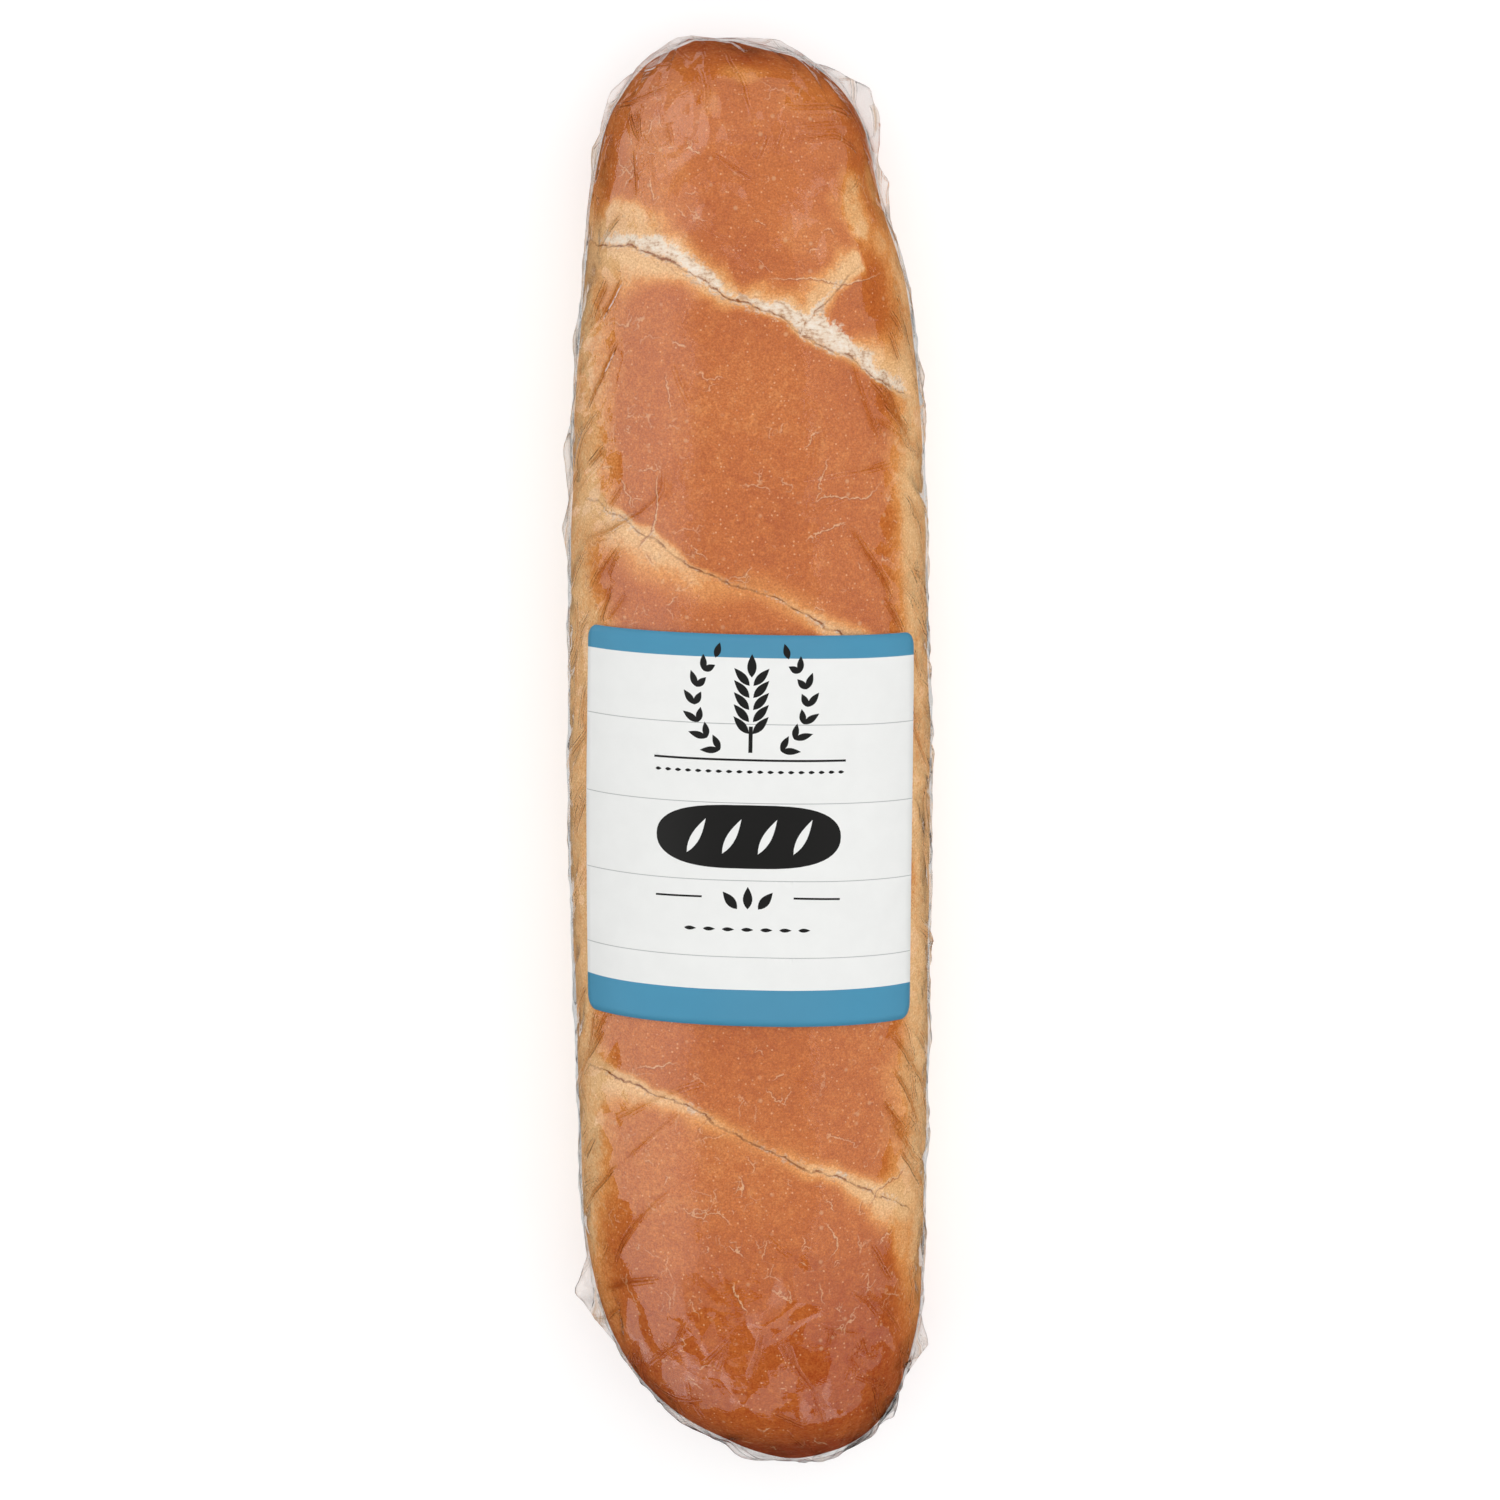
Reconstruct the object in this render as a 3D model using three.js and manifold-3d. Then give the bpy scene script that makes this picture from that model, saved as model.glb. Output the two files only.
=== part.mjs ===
// A one-pound French loaf in clear shrink film, with a paper label on top.
// Millimetres, +Z up. The loaf lies along Y and stands on z = 0, under the middle of its box.
import * as THREE from "three";
import { mergeVertices } from "three/addons/utils/BufferGeometryUtils.js";
import Module from "manifold-3d";

const wasm = await Module();
wasm.setup();

// Loaf: heights are above its own base, powers set how square the section is.
const LOAF_HEIGHT = 67;
const BELT_HEIGHT = 25;
const WIDEST_HALF = 50.2;
const HALF_LENGTH = 200;
const DOME_POWER = 2.25;
const BASE_POWER = 2.7;
const BASE_CUT = 3;
const END_FALL_POWER = 1.4;
const END_LIFT_POWER = 0.6;

// Film: drawn thicker than the real foil, so that it is a solid.
const FILM_THICKNESS = 0.4;
const FILM_GAP = 0.3;
const VENT_RADIUS = 3;
const VENT_DEPTH = 1.6;
const VENT_SIDES = 12;
const VENT_Y = -110;

// Label: flat size, corner radius, and where it is stuck.
const LABEL_WIDTH = 101.6;
const LABEL_LENGTH = 107;
const LABEL_CORNER = 4;
const LABEL_THICKNESS = 0.3;
const LABEL_GAP = 0.3;
const LABEL_Y = -13.3;
const LABEL_TURN = -1.1;

// Mesh density.
const RINGS = 42;
const SIDES = 28;
const LABEL_COLUMNS = 18;
const LABEL_ROWS = 24;
const WALK_STEP = 0.25;
const HALVINGS = 24;

// Plan outline from the narrow end to the broad one: y, left edge, right edge.
const OUTLINE = [
  [199.6, -15.5, -4],
  [197.3, -20.5, 4],
  [193.7, -27.3, 14.6],
  [187, -33.6, 24.2],
  [176, -39.6, 31.2],
  [155, -43.6, 36.4],
  [134, -45.6, 43.1],
  [101, -48.5, 47],
  [34, -50.2, 49.8],
  [-33, -50, 50.3],
  [-102, -48.2, 50.1],
  [-136, -46.5, 49.7],
  [-160, -40.2, 48.2],
  [-180, -27.5, 42.4],
  [-192.4, -8.5, 32.8],
  [-198.9, 3.2, 22],
  [-200.8, 8, 17],
];

// Slashes across the top: half width, depth, and the crack's course from left to right.
const SLASHES = [
  { half: 6, depth: 4, course: [[-44, 146], [-18, 138], [0, 128], [20, 119], [47, 102]] },
  { half: 3.5, depth: 3, course: [[-46, 79], [-26, 67], [-8, 56], [20, 43], [44, 30]] },
  { half: 3.5, depth: 3, course: [[-45, -1], [-25, -12], [0, -24], [22, -34], [45, -46]] },
  { half: 3.5, depth: 3, course: [[-45, -80], [-14, -91], [0, -100], [22, -108], [47, -125]] },
];
const SLASH_CLEAR = 3;
const SLASH_PIECES = 8;
const SLASH_END_SHARE = 0.25;

// Loose folds, where the film stands off the bread: y, side, reach, half length along Y.
const FOLDS = [
  { y: 178, side: 1, reach: 6, length: 13 },
  { y: 183, side: -1, reach: 2.6, length: 12 },
  { y: 88, side: -1, reach: 1.8, length: 13 },
  { y: -152, side: -1, reach: 6, length: 12 },
  { y: -172, side: 1, reach: 3.6, length: 9 },
];
const FOLD_FOCUS = 10;

const LOAF_BASE = FILM_THICKNESS + FILM_GAP;
const BELT_Z = LOAF_BASE + BELT_HEIGHT;
const FILM_OUT = FILM_GAP + FILM_THICKNESS;

const outlineCurve = new THREE.CatmullRomCurve3(
  OUTLINE.map(([y, left, right]) => new THREE.Vector3(left, y, right)),
);

// The section at a share of the way along the outline, swelled outward by an offset.
function sectionAt(share, offset) {
  const { x: left, y, z: right } = outlineCurve.getPoint(share);
  const half = (right - left) / 2;
  const fullness = Math.sin((Math.PI / 2) * Math.min(1, half / WIDEST_HALF));
  return {
    y: y * (1 + offset / HALF_LENGTH),
    middle: (left + right) / 2,
    half: half + offset,
    rise: (LOAF_HEIGHT - BELT_HEIGHT) * fullness ** END_FALL_POWER + offset,
    drop: (BELT_HEIGHT + BASE_CUT) * fullness ** END_LIFT_POWER + offset,
    floor: LOAF_BASE - offset,
  };
}

// How far the film's folds carry it sideways at a place on the skin.
function foldReach(y, cosine) {
  let reach = 0;
  for (const fold of FOLDS) {
    const along = Math.exp(-(((y - fold.y) / fold.length) ** 2));
    reach += fold.side * fold.reach * along * Math.max(0, fold.side * cosine) ** FOLD_FOCUS;
  }
  return reach;
}

// A point of a section: a squared ellipse above the belt, another below it, cut flat by the floor.
function sectionPoint(section, angle, folded) {
  const cosine = Math.cos(angle);
  const sine = Math.sin(angle);
  const power = sine >= 0 ? DOME_POWER : BASE_POWER;
  const side = Math.sign(cosine) * Math.abs(cosine) ** (2 / power);
  const lift = Math.abs(sine) ** (2 / power);
  const x = section.middle + section.half * side + (folded ? foldReach(section.y, cosine) : 0);
  const z = sine >= 0 ? BELT_Z + section.rise * lift : BELT_Z - section.drop * lift;
  return [x, section.y, Math.max(section.floor, z)];
}

// A closed solid through rings of points, each of them anticlockwise seen along the way, with a
// fan over each end to its tip.
function loft(rings, tips) {
  const count = rings[0].length;
  const faces = [];
  for (let i = 1; i < rings.length; i++) {
    for (let j = 0; j < count; j++) {
      const a = (i - 1) * count + j;
      const b = (i - 1) * count + ((j + 1) % count);
      faces.push([a, b, a + count], [b, b + count, a + count]);
    }
  }
  const last = (rings.length - 1) * count;
  const firstTip = rings.length * count;
  for (let j = 0; j < count; j++) {
    const next = (j + 1) % count;
    faces.push([j, firstTip, next], [last + j, last + next, firstTip + 1]);
  }
  return solidFrom([...rings.flat(), ...tips].flat(), faces.flat());
}

function solidFrom(points, indices) {
  const vertProperties = new Float32Array(points);
  const triVerts = new Uint32Array(indices);
  return new wasm.Manifold(new wasm.Mesh({ numProp: 3, vertProperties, triVerts }));
}

// A three.js geometry without its seams: only places and triangles are left.
function seamless(geometry) {
  geometry.deleteAttribute("normal");
  geometry.deleteAttribute("uv");
  return mergeVertices(geometry);
}

// The loaf's own surface, swelled outward by an offset, with or without the film's folds.
function skin(offset, folded) {
  const sections = Array.from({ length: RINGS + 1 }, (_, i) => sectionAt(i / RINGS, offset));
  const angles = Array.from({ length: SIDES }, (_, j) => (2 * Math.PI * j) / SIDES);
  const rings = sections.map((section) => angles.map((angle) => sectionPoint(section, angle, folded)));
  const tips = [sections[0], sections[RINGS]].map(({ middle, y }) => [middle, y, BELT_Z]);
  return loft(rings, tips);
}

// The share along the outline that lies at a given y, found by halving.
function shareAt(y) {
  let low = 0;
  let high = 1;
  for (let i = 0; i < HALVINGS; i++) {
    const middle = (low + high) / 2;
    if (outlineCurve.getPoint(middle).y > y) low = middle;
    else high = middle;
  }
  return low;
}

// Height of the dome over a point of the plan.
function domeZ(section, x) {
  const side = Math.min(1, Math.abs(x - section.middle) / section.half);
  return BELT_Z + section.rise * (1 - side ** DOME_POWER) ** (1 / DOME_POWER);
}

// A V-shaped wedge that opens one slash, shallow at its ends and deepest halfway.
function slashCutter({ half, depth, course }) {
  const path = new THREE.SplineCurve(course.map(([x, y]) => new THREE.Vector2(x, y)));
  const rings = [];
  const middles = [];
  for (let i = 0; i <= SLASH_PIECES; i++) {
    const share = i / SLASH_PIECES;
    const { x, y } = path.getPointAt(share);
    const tangent = path.getTangentAt(share);
    const opening = SLASH_END_SHARE + (1 - SLASH_END_SHARE) * Math.sin(Math.PI * share);
    const top = domeZ(sectionAt(shareAt(y), 0), x);
    const across = half * opening;
    rings.push([
      [x - tangent.y * across, y + tangent.x * across, top + SLASH_CLEAR],
      [x + tangent.y * across, y - tangent.x * across, top + SLASH_CLEAR],
      [x, y, top - depth * opening],
    ]);
    middles.push([x, y, top]);
  }
  return loft(rings, [middles[0], middles[SLASH_PIECES]]);
}

// Half the label's width at a distance from its nearer end, which its round corners take in.
function labelHalf(fromEnd) {
  const inside = Math.max(0, LABEL_CORNER - fromEnd);
  return LABEL_WIDTH / 2 - LABEL_CORNER + Math.sqrt(LABEL_CORNER ** 2 - inside ** 2);
}

// Where a place of the flat label goes when it is laid over the film: arc lengths are kept.
function wrapOnFilm(across, along, up) {
  const section = sectionAt(shareAt(along), FILM_OUT + LABEL_GAP);
  const step = Math.sign(across) * WALK_STEP;
  let x = section.middle;
  let z = domeZ(section, x);
  let slope = 0;
  let left = Math.abs(across);
  while (left > 0) {
    const rise = domeZ(section, x + step) - z;
    const length = Math.hypot(step, rise);
    const stride = Math.min(1, left / length);
    slope = rise / step;
    x += step * stride;
    z += rise * stride;
    left -= length;
  }
  const normal = Math.hypot(1, slope);
  return [x - (slope / normal) * up, along, z + up / normal];
}

// The flat label as a box in rows that crowd towards its ends, then turned and laid over the film.
function labelGeometry() {
  const size = [LABEL_WIDTH, LABEL_LENGTH, LABEL_THICKNESS];
  const geometry = seamless(new THREE.BoxGeometry(...size, LABEL_COLUMNS, LABEL_ROWS, 1));
  const turn = THREE.MathUtils.degToRad(LABEL_TURN);
  const place = geometry.getAttribute("position");
  for (let i = 0; i < place.count; i++) {
    const along = (LABEL_LENGTH / 2) * Math.sin((Math.PI * place.getY(i)) / LABEL_LENGTH);
    const across = (place.getX(i) * labelHalf(LABEL_LENGTH / 2 - Math.abs(along))) / (LABEL_WIDTH / 2);
    const flat = new THREE.Vector2(across, along).rotateAround(new THREE.Vector2(), turn);
    const up = place.getZ(i) + LABEL_THICKNESS / 2;
    place.setXYZ(i, ...wrapOnFilm(flat.x, flat.y + LABEL_Y, up));
  }
  return geometry;
}

// The geometry of a solid that was cut or joined.
function geometryOf(solid) {
  const { vertProperties, triVerts } = solid.getMesh();
  const geometry = new THREE.BufferGeometry();
  geometry.setAttribute("position", new THREE.BufferAttribute(vertProperties, 3));
  geometry.setIndex(new THREE.BufferAttribute(triVerts, 1));
  return geometry;
}

function node(name, geometry, material) {
  geometry.computeVertexNormals();
  const mesh = new THREE.Mesh(geometry, new THREE.MeshStandardMaterial(material));
  mesh.name = name;
  return mesh;
}

function makeLoaf() {
  let bread = skin(0, false);
  for (const slash of SLASHES) bread = bread.subtract(slashCutter(slash));
  return node("loaf", geometryOf(bread), { color: 0xc07a3e, roughness: 0.75 });
}

// A bag with one small vent hole through its underside.
function makeFilm() {
  const drill = new THREE.CylinderGeometry(VENT_RADIUS, VENT_RADIUS, VENT_DEPTH, VENT_SIDES);
  const vent = seamless(drill.rotateX(Math.PI / 2).translate(0, VENT_Y, 0));
  const bag = skin(FILM_OUT, true).subtract(skin(FILM_GAP, true));
  const open = bag.subtract(solidFrom(vent.getAttribute("position").array, vent.index.array));
  const look = { color: 0xf4f8fa, roughness: 0.1, transparent: true, opacity: 0.2 };
  return node("wrap_film", geometryOf(open), look);
}

function makeLabel() {
  return node("label", labelGeometry(), { color: 0xf0f1f0, roughness: 0.6 });
}

const wrappedLoaf = new THREE.Group();
wrappedLoaf.add(makeLoaf(), makeFilm(), makeLabel());

// The origin goes under the middle of the wrapped loaf's box.
const middle = new THREE.Box3().setFromObject(wrappedLoaf).getCenter(new THREE.Vector3());
wrappedLoaf.position.set(-middle.x, -middle.y, 0);

const part = new THREE.Group();
part.add(wrappedLoaf);

export default part;
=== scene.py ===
import math

import bpy
import numpy as np
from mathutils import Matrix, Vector
from mathutils.geometry import delaunay_2d_cdt


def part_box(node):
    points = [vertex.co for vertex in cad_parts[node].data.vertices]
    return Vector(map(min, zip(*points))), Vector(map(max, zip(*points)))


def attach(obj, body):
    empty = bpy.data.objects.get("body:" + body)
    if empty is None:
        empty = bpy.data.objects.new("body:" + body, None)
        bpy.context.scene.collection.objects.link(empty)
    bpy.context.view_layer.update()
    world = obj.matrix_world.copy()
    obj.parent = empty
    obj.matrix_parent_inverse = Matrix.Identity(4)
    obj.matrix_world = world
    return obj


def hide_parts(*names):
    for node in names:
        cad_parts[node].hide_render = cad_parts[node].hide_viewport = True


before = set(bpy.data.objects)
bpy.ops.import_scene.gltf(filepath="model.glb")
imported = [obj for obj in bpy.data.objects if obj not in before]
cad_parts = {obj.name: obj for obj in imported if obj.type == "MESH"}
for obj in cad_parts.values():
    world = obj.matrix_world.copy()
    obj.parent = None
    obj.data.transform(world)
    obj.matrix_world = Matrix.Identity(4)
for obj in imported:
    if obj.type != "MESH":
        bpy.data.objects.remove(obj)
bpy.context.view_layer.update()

bl_info = {
    "name": "Wrapped Baguette Loaf",
    "version": (1, 0, 0),
    "blender": (4, 5, 0),
    "location": "View3D > Sidebar > Wrapped Loaf",
    "description": "Makes a slashed French loaf in clear shrink film with a paper label",
    "category": "Add Mesh",
}

MM = 0.001

# The light tent's reach to each side and its height, in metres.
TENT_REACH = 1.1
TENT_TOP = 1.25

# What the camera looks at: how far ahead of the outline's middle and how high, in mm.
AIM_AHEAD = 4.5
AIM_HEIGHT = 34

# Plan outline from the narrow end to the broad one, in mm: y, left edge, right edge.
OUTLINE = [
    (199.6, -15.5, -4),
    (197.3, -20.5, 4),
    (193.7, -27.3, 14.6),
    (187, -33.6, 24.2),
    (176, -39.6, 31.2),
    (155, -43.6, 36.4),
    (134, -45.6, 43.1),
    (101, -48.5, 47),
    (34, -50.2, 49.8),
    (-33, -50, 50.3),
    (-102, -48.2, 50.1),
    (-136, -46.5, 49.7),
    (-160, -40.2, 48.2),
    (-180, -27.5, 42.4),
    (-192.4, -8.5, 32.8),
    (-198.9, 3.2, 22),
    (-200.8, 8, 17),
]

# The section: heights in mm above the loaf's base, and how square the dome and the base are.
LOAF_BASE = 0.7
LOAF_HEIGHT = 67
BELT_HEIGHT = 25
WIDEST_HALF = 50.2
HALF_LENGTH = 200
DOME_POWER = 2.25
BASE_POWER = 2.7
BASE_CUT = 3
END_FALL_POWER = 1.4
END_LIFT_POWER = 0.6
BASE_ROUNDING = 0.6

# Outward offsets from the loaf in mm: the film, and the label's two faces above the film.
FILM_OFFSET = 0.62
LABEL_LIFTS = (0.34, 0.2)

# Steps for measuring curves and the outline's box, cells in a table of noise, and a distance in mm
# that counts as far off.
FINE_STEPS = 4000
BOX_STATIONS = 801
NOISE_CELLS = 32
FAR_OFF = 20.0

# Share of the steps round a skin that its hidden underside keeps.
LOAF_UNDERSIDE = 0.45
FILM_UNDERSIDE = 0.3

# Slashes, from left to right. Each row is the place on the plan, then how far the open crumb
# reaches on the near and the far side, and how far the pale young crust does, all in mm. The
# strength of the painted shade in the crack is given at the start, the middle and the end.
SLASHES = [
    {
        "depth": 1.5,
        "closed": 0.2,
        "crack": (1.0, 1.0, 0.6),
        "rows": [
            (-46, 146, 1.0, 2.0, 11, 7),
            (-29.4, 143.6, 1.0, 3.4, 12, 7),
            (-22.7, 141, 1.0, 4.0, 9, 6),
            (-16, 136.8, 0.8, 3.8, 6, 5),
            (-9.3, 132.1, 0.5, 2.2, 4, 5),
            (-2.7, 129.8, 0.3, 0.9, 2.0, 3.2),
            (5.3, 126.8, 0.6, 3.0, 1.6, 6),
            (13.3, 122, 1.0, 5.4, 1.4, 10),
            (21.4, 117.5, 1.2, 5.2, 1.4, 12),
            (29.5, 113.5, 1.0, 3.4, 1.4, 7),
            (37.8, 107.5, 0.8, 2.6, 1.4, 9),
            (46, 102, 0.5, 1.5, 3, 9),
        ],
    },
    {
        "depth": 0.5,
        "closed": 0.5,
        "crack": (0.6, 0.8, 0.3),
        "rows": [
            (14, 123, 1.0, 1.4, 4, 8),
            (20.5, 129.4, 0.8, 1.2, 3, 9),
            (24, 132.5, 0.5, 0.9, 3, 8),
            (27, 137, 0.3, 0.5, 3, 7),
            (31, 139.4, 0.2, 0.2, 3, 6),
        ],
    },
    {
        "depth": 0.9,
        "closed": 1.0,
        "crack": (0.5, 1.0, 1.0),
        "rows": [
            (-47, 78, 0.9, 0.3, 9, 4),
            (-40.7, 73.7, 1.1, 0.2, 9, 3),
            (-33.8, 70.1, 1.2, 0.2, 9, 1.6),
            (-26.9, 66.7, 1.2, 0.2, 9, 1.3),
            (-18.8, 61, 0.9, 0.1, 9, 1.2),
            (-12.1, 56.8, 0.6, 0.1, 8, 1.2),
            (-2.7, 53.3, 0.4, 0.1, 6, 2),
            (5.4, 50.1, 0.3, 0.2, 4, 4),
            (13.4, 46.2, 0.3, 0.2, 4, 4),
            (21.6, 41.4, 0.3, 0.2, 4, 4),
            (46, 28, 0.3, 0.2, 4, 4),
        ],
    },
    {
        "depth": 0.9,
        "closed": 1.0,
        "crack": (1.0, 1.0, 1.0),
        "rows": [
            (-45, -1, 0.4, 0.4, 5, 5),
            (-25, -12, 0.4, 0.4, 5, 5),
            (0, -24, 0.4, 0.4, 5, 5),
            (22, -34, 0.4, 0.4, 5, 5),
            (45, -46, 0.4, 0.4, 5, 5),
        ],
    },
    {
        "depth": 0.9,
        "closed": 1.0,
        "crack": (1.0, 1.0, 0.8),
        "rows": [
            (-46, -81, 0.8, 0.4, 8, 3),
            (-35.8, -83.8, 0.7, 0.3, 7, 2),
            (-27.4, -86.6, 0.5, 0.3, 6, 2),
            (-13.7, -91.8, 0.3, 0.2, 4, 2),
            (-2.7, -98, 0.3, 0.2, 3, 3),
            (8.2, -103.6, 0.3, 0.4, 3, 2.5),
            (19.2, -108.3, 0.4, 0.9, 3, 2.5),
            (25, -110.5, 0.5, 1.7, 3, 3),
            (30.3, -113, 0.4, 0.7, 4.5, 3),
            (38.8, -118, 0.5, 1.4, 8, 4.5),
            (46.5, -125, 0.5, 1.2, 11, 6),
        ],
    },
]

# Patches of crust away from the slashes: x, y, half width, half length in mm, turn in degrees,
# and how much paler they are. A negative number is a patch that stays brown.
PATCHES = [
    (-27, 166, 13, 22, 0, 0.34),
    (8, 158, 16, 12, 0, 0.2),
    (18, 146, 14, 8, -12, 0.35),
    (-6, 132.5, 4, 2.5, -30, 0.5),
    (29.7, 125.8, 9, 6.5, 28, -1.0),
    (28, 153, 7, 12, 18, 0.8),
    (33, 160, 4, 7, 10, 0.5),
    (35, 145, 5.5, 4.5, 0, 0.6),
    (-33, 151, 13, 5, -8, 0.85),
    (-2, 189.5, 8, 2.6, 0, 0.5),
    (-11, 181, 4, 6, -35, 0.42),
    (-19, 180, 12, 12, -30, 0.3),
    (14, 183, 16, 8, -12, 0.3),
    (20, 170, 12, 8, -20, 0.2),
    (6, 52, 14, 4.5, -22, 0.4),
    (36, -114, 7, 4, -30, 0.3),
    (42, -129, 4, 9, 0, 0.6),
    (43, 70, 4, 22, 0, 0.45),
    (44, -70, 3.5, 26, 0, 0.35),
]

# Dog-ears of loose film at belt height: y, side, reach, and length ahead and behind, in mm.
EARS = [
    (183, 1, 6.4, 15, 21),
    (160, 1, 3.0, 9, 13),
    (197, 1, 2.4, 16, 10),
    (108, 1, 1.9, 6, 8),
    (184, -1, 2.8, 9, 15),
    (170, -1, 2.0, 7, 10),
    (118, -1, 1.5, 8, 12),
    (86, -1, 2.4, 10, 15),
    (66, -1, 1.9, 9, 12),
    (-150, -1, 6.3, 9, 22),
    (-167, 1, 3.9, 9, 12),
    (-187, 1, 3.6, 8, 9),
    (-197, 1, 1.6, 12, 14),
    (-199.5, -1, 1.3, 8, 10),
    (199, -1, 1.3, 12, 12),
]

# Long fine cracks in the crust: strength and course.
CRUST_CRACKS = [
    (1.0, [(-24.8, 88.2), (-25.1, 73), (-26.4, 68.6), (-28.6, 64.8), (-30.8, 62.6)]),
    (0.9, [(16.4, 75.4), (20, 77), (24.6, 76.9), (30.6, 76.2), (35.9, 80.2)]),
    (0.8, [(14.8, 64.9), (20, 67.9), (26, 70.2)]),
    (0.7, [(-22.6, 110.7), (-22.2, 105), (-21, 100.1)]),
    (0.7, [(21.6, 88.2), (18.7, 80.7), (17.9, 76.2)]),
    (1.0, [(3.7, 135.4), (17.1, 135), (24.6, 133.8), (36.6, 136.8)]),
    (1.0, [(32.1, -119.7), (36, -115), (39.5, -112.9), (44.4, -109.9)]),
    (0.9, [(-5.8, -137.9), (-2.7, -144.7), (-0.8, -148.4)]),
    (0.8, [(-31.3, -80.5), (-25.8, -79.4), (-19.2, -77.5)]),
    (0.7, [(-20, -118), (-14, -121), (-9, -119), (-5, -124)]),
    (0.7, [(20, -122), (24, -128), (22, -134)]),
]

# Creases in the film that start from a slash end, a label corner or an ear: height in mm and course.
CREASES = [
    (0.45, [(-45.7, 63.3), (-37.4, 67.7), (-29.6, 72.5), (-25.5, 75.9), (-23.6, 79.4), (-23.6, 84.5)]),
    (0.35, [(-34.9, 64.4), (-39.4, 57.5), (-44, 50.4)]),
    (0.3, [(-33.6, 50.6), (-38.9, 42.8)]),
    (0.45, [(-36.5, 181), (-27.9, 182.9), (-20.7, 185.8)]),
    (0.3, [(-34.4, 191.2), (-26.5, 191.1), (-18.8, 192.3)]),
    (0.2, [(16.1, 72.3), (21.5, 74.9), (28.8, 77.9)]),
    (0.22, [(10, 80.5), (26.9, 83.3), (39.3, 85.5)]),
    (0.18, [(17.1, 83.3), (18.5, 92.1), (21.7, 95.5)]),
    (0.45, [(-41.5, -147), (-33.2, -141.5), (-24.2, -138.8)]),
    (0.35, [(-27.7, -165), (-21.2, -158.1), (-16.2, -147.8)]),
    (0.3, [(27.6, -142.3), (32.1, -145.8), (35.5, -150.5)]),
    (0.4, [(29.3, -166.7), (38.5, -173.5)]),
    (0.4, [(9.3, 180.7), (21.2, 180.8), (27, 178)]),
    (0.35, [(7.9, 171.6), (22.6, 172.9), (30, 168)]),
    (0.3, [(12, 176), (24, 176.5)]),
    (0.4, [(26, 181), (31, 172), (34, 165)]),
]


# ---------------------------------------------------------------- shape of the loaf


def smooth_course(points, shares):
    """Places at the given shares, 0 to 1, along a centripetal Catmull-Rom curve."""
    points = np.asarray(points, float)
    ends = np.vstack([2 * points[0] - points[1], points, 2 * points[-1] - points[-2]])
    place = np.clip(np.asarray(shares) * (len(points) - 1), 0, len(points) - 1 - 1e-9)
    span = place.astype(int)
    w = (place - span)[:, None]
    before, start, end, after = (ends[span + k] for k in range(4))
    gaps = [
        np.sqrt(np.linalg.norm(b - a, axis=1))[:, None]
        for a, b in ((before, start), (start, end), (end, after))
    ]
    leave = (start - before) / gaps[0] - (end - before) / (gaps[0] + gaps[1])
    leave = (leave + (end - start) / gaps[1]) * gaps[1]
    reach = (end - start) / gaps[1] - (after - start) / (gaps[1] + gaps[2])
    reach = (reach + (after - end) / gaps[2]) * gaps[1]
    square = 3 * (end - start) - 2 * leave - reach
    cube = 2 * (start - end) + leave + reach
    return start + w * (leave + w * (square + w * cube))


def even_steps(places, count, weights=1.0):
    """Positions in a row of places that are evenly spaced along it, as fractional indices."""
    strides = np.linalg.norm(np.diff(places, axis=0), axis=1) * weights
    walked = np.concatenate([[0], np.cumsum(strides)])
    return np.interp(np.linspace(0, walked[-1], count), walked, np.arange(len(places)))


def stations(count):
    """Rows of (y, left, right) along the loaf, close together where its outline turns in."""
    fine = smooth_course(OUTLINE, np.linspace(0, 1, FINE_STEPS + 1))
    return smooth_course(OUTLINE, even_steps(fine, count) / FINE_STEPS)


def section(rows, angles, offset):
    """Points in mm for every row and angle: a squared ellipse above the belt, another below."""
    y, left, right = (column[:, None] for column in rows.T)
    half = (right - left) / 2
    fullness = np.sin(np.pi / 2 * np.minimum(1, half / WIDEST_HALF))
    rise = (LOAF_HEIGHT - BELT_HEIGHT) * fullness**END_FALL_POWER + offset
    drop = (BELT_HEIGHT + BASE_CUT) * fullness**END_LIFT_POWER + offset
    cosine, sine = np.cos(angles), np.sin(angles)
    power = 2 / np.where(sine >= 0, DOME_POWER, BASE_POWER)
    lift = np.abs(sine) ** power
    x = (left + right) / 2 + (half + offset) * np.sign(cosine) * np.abs(cosine) ** power
    z = LOAF_BASE + BELT_HEIGHT + np.where(sine >= 0, rise * lift, -drop * lift)
    floor = LOAF_BASE - offset
    z = floor + BASE_ROUNDING * np.logaddexp(0, (z - floor) / BASE_ROUNDING - 1)
    return np.stack([x, np.broadcast_to(y * (1 + offset / HALF_LENGTH), x.shape), z], axis=-1)


def even_angles(count, underside_share):
    """Angles round a section, from the middle of the base, with fewer steps on the underside."""
    fine = np.linspace(-np.pi / 2, 3 * np.pi / 2, FINE_STEPS + 1)
    ring = section(np.array([[0.0, -50, 50]]), fine, 0)[0]
    below = (ring[1:, 2] < 12) & (ring[:-1, 2] < 12)
    steps = even_steps(ring, count + 1, np.where(below, underside_share, 1.0))
    return np.interp(steps, np.arange(FINE_STEPS + 1), fine)[:-1]


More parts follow.
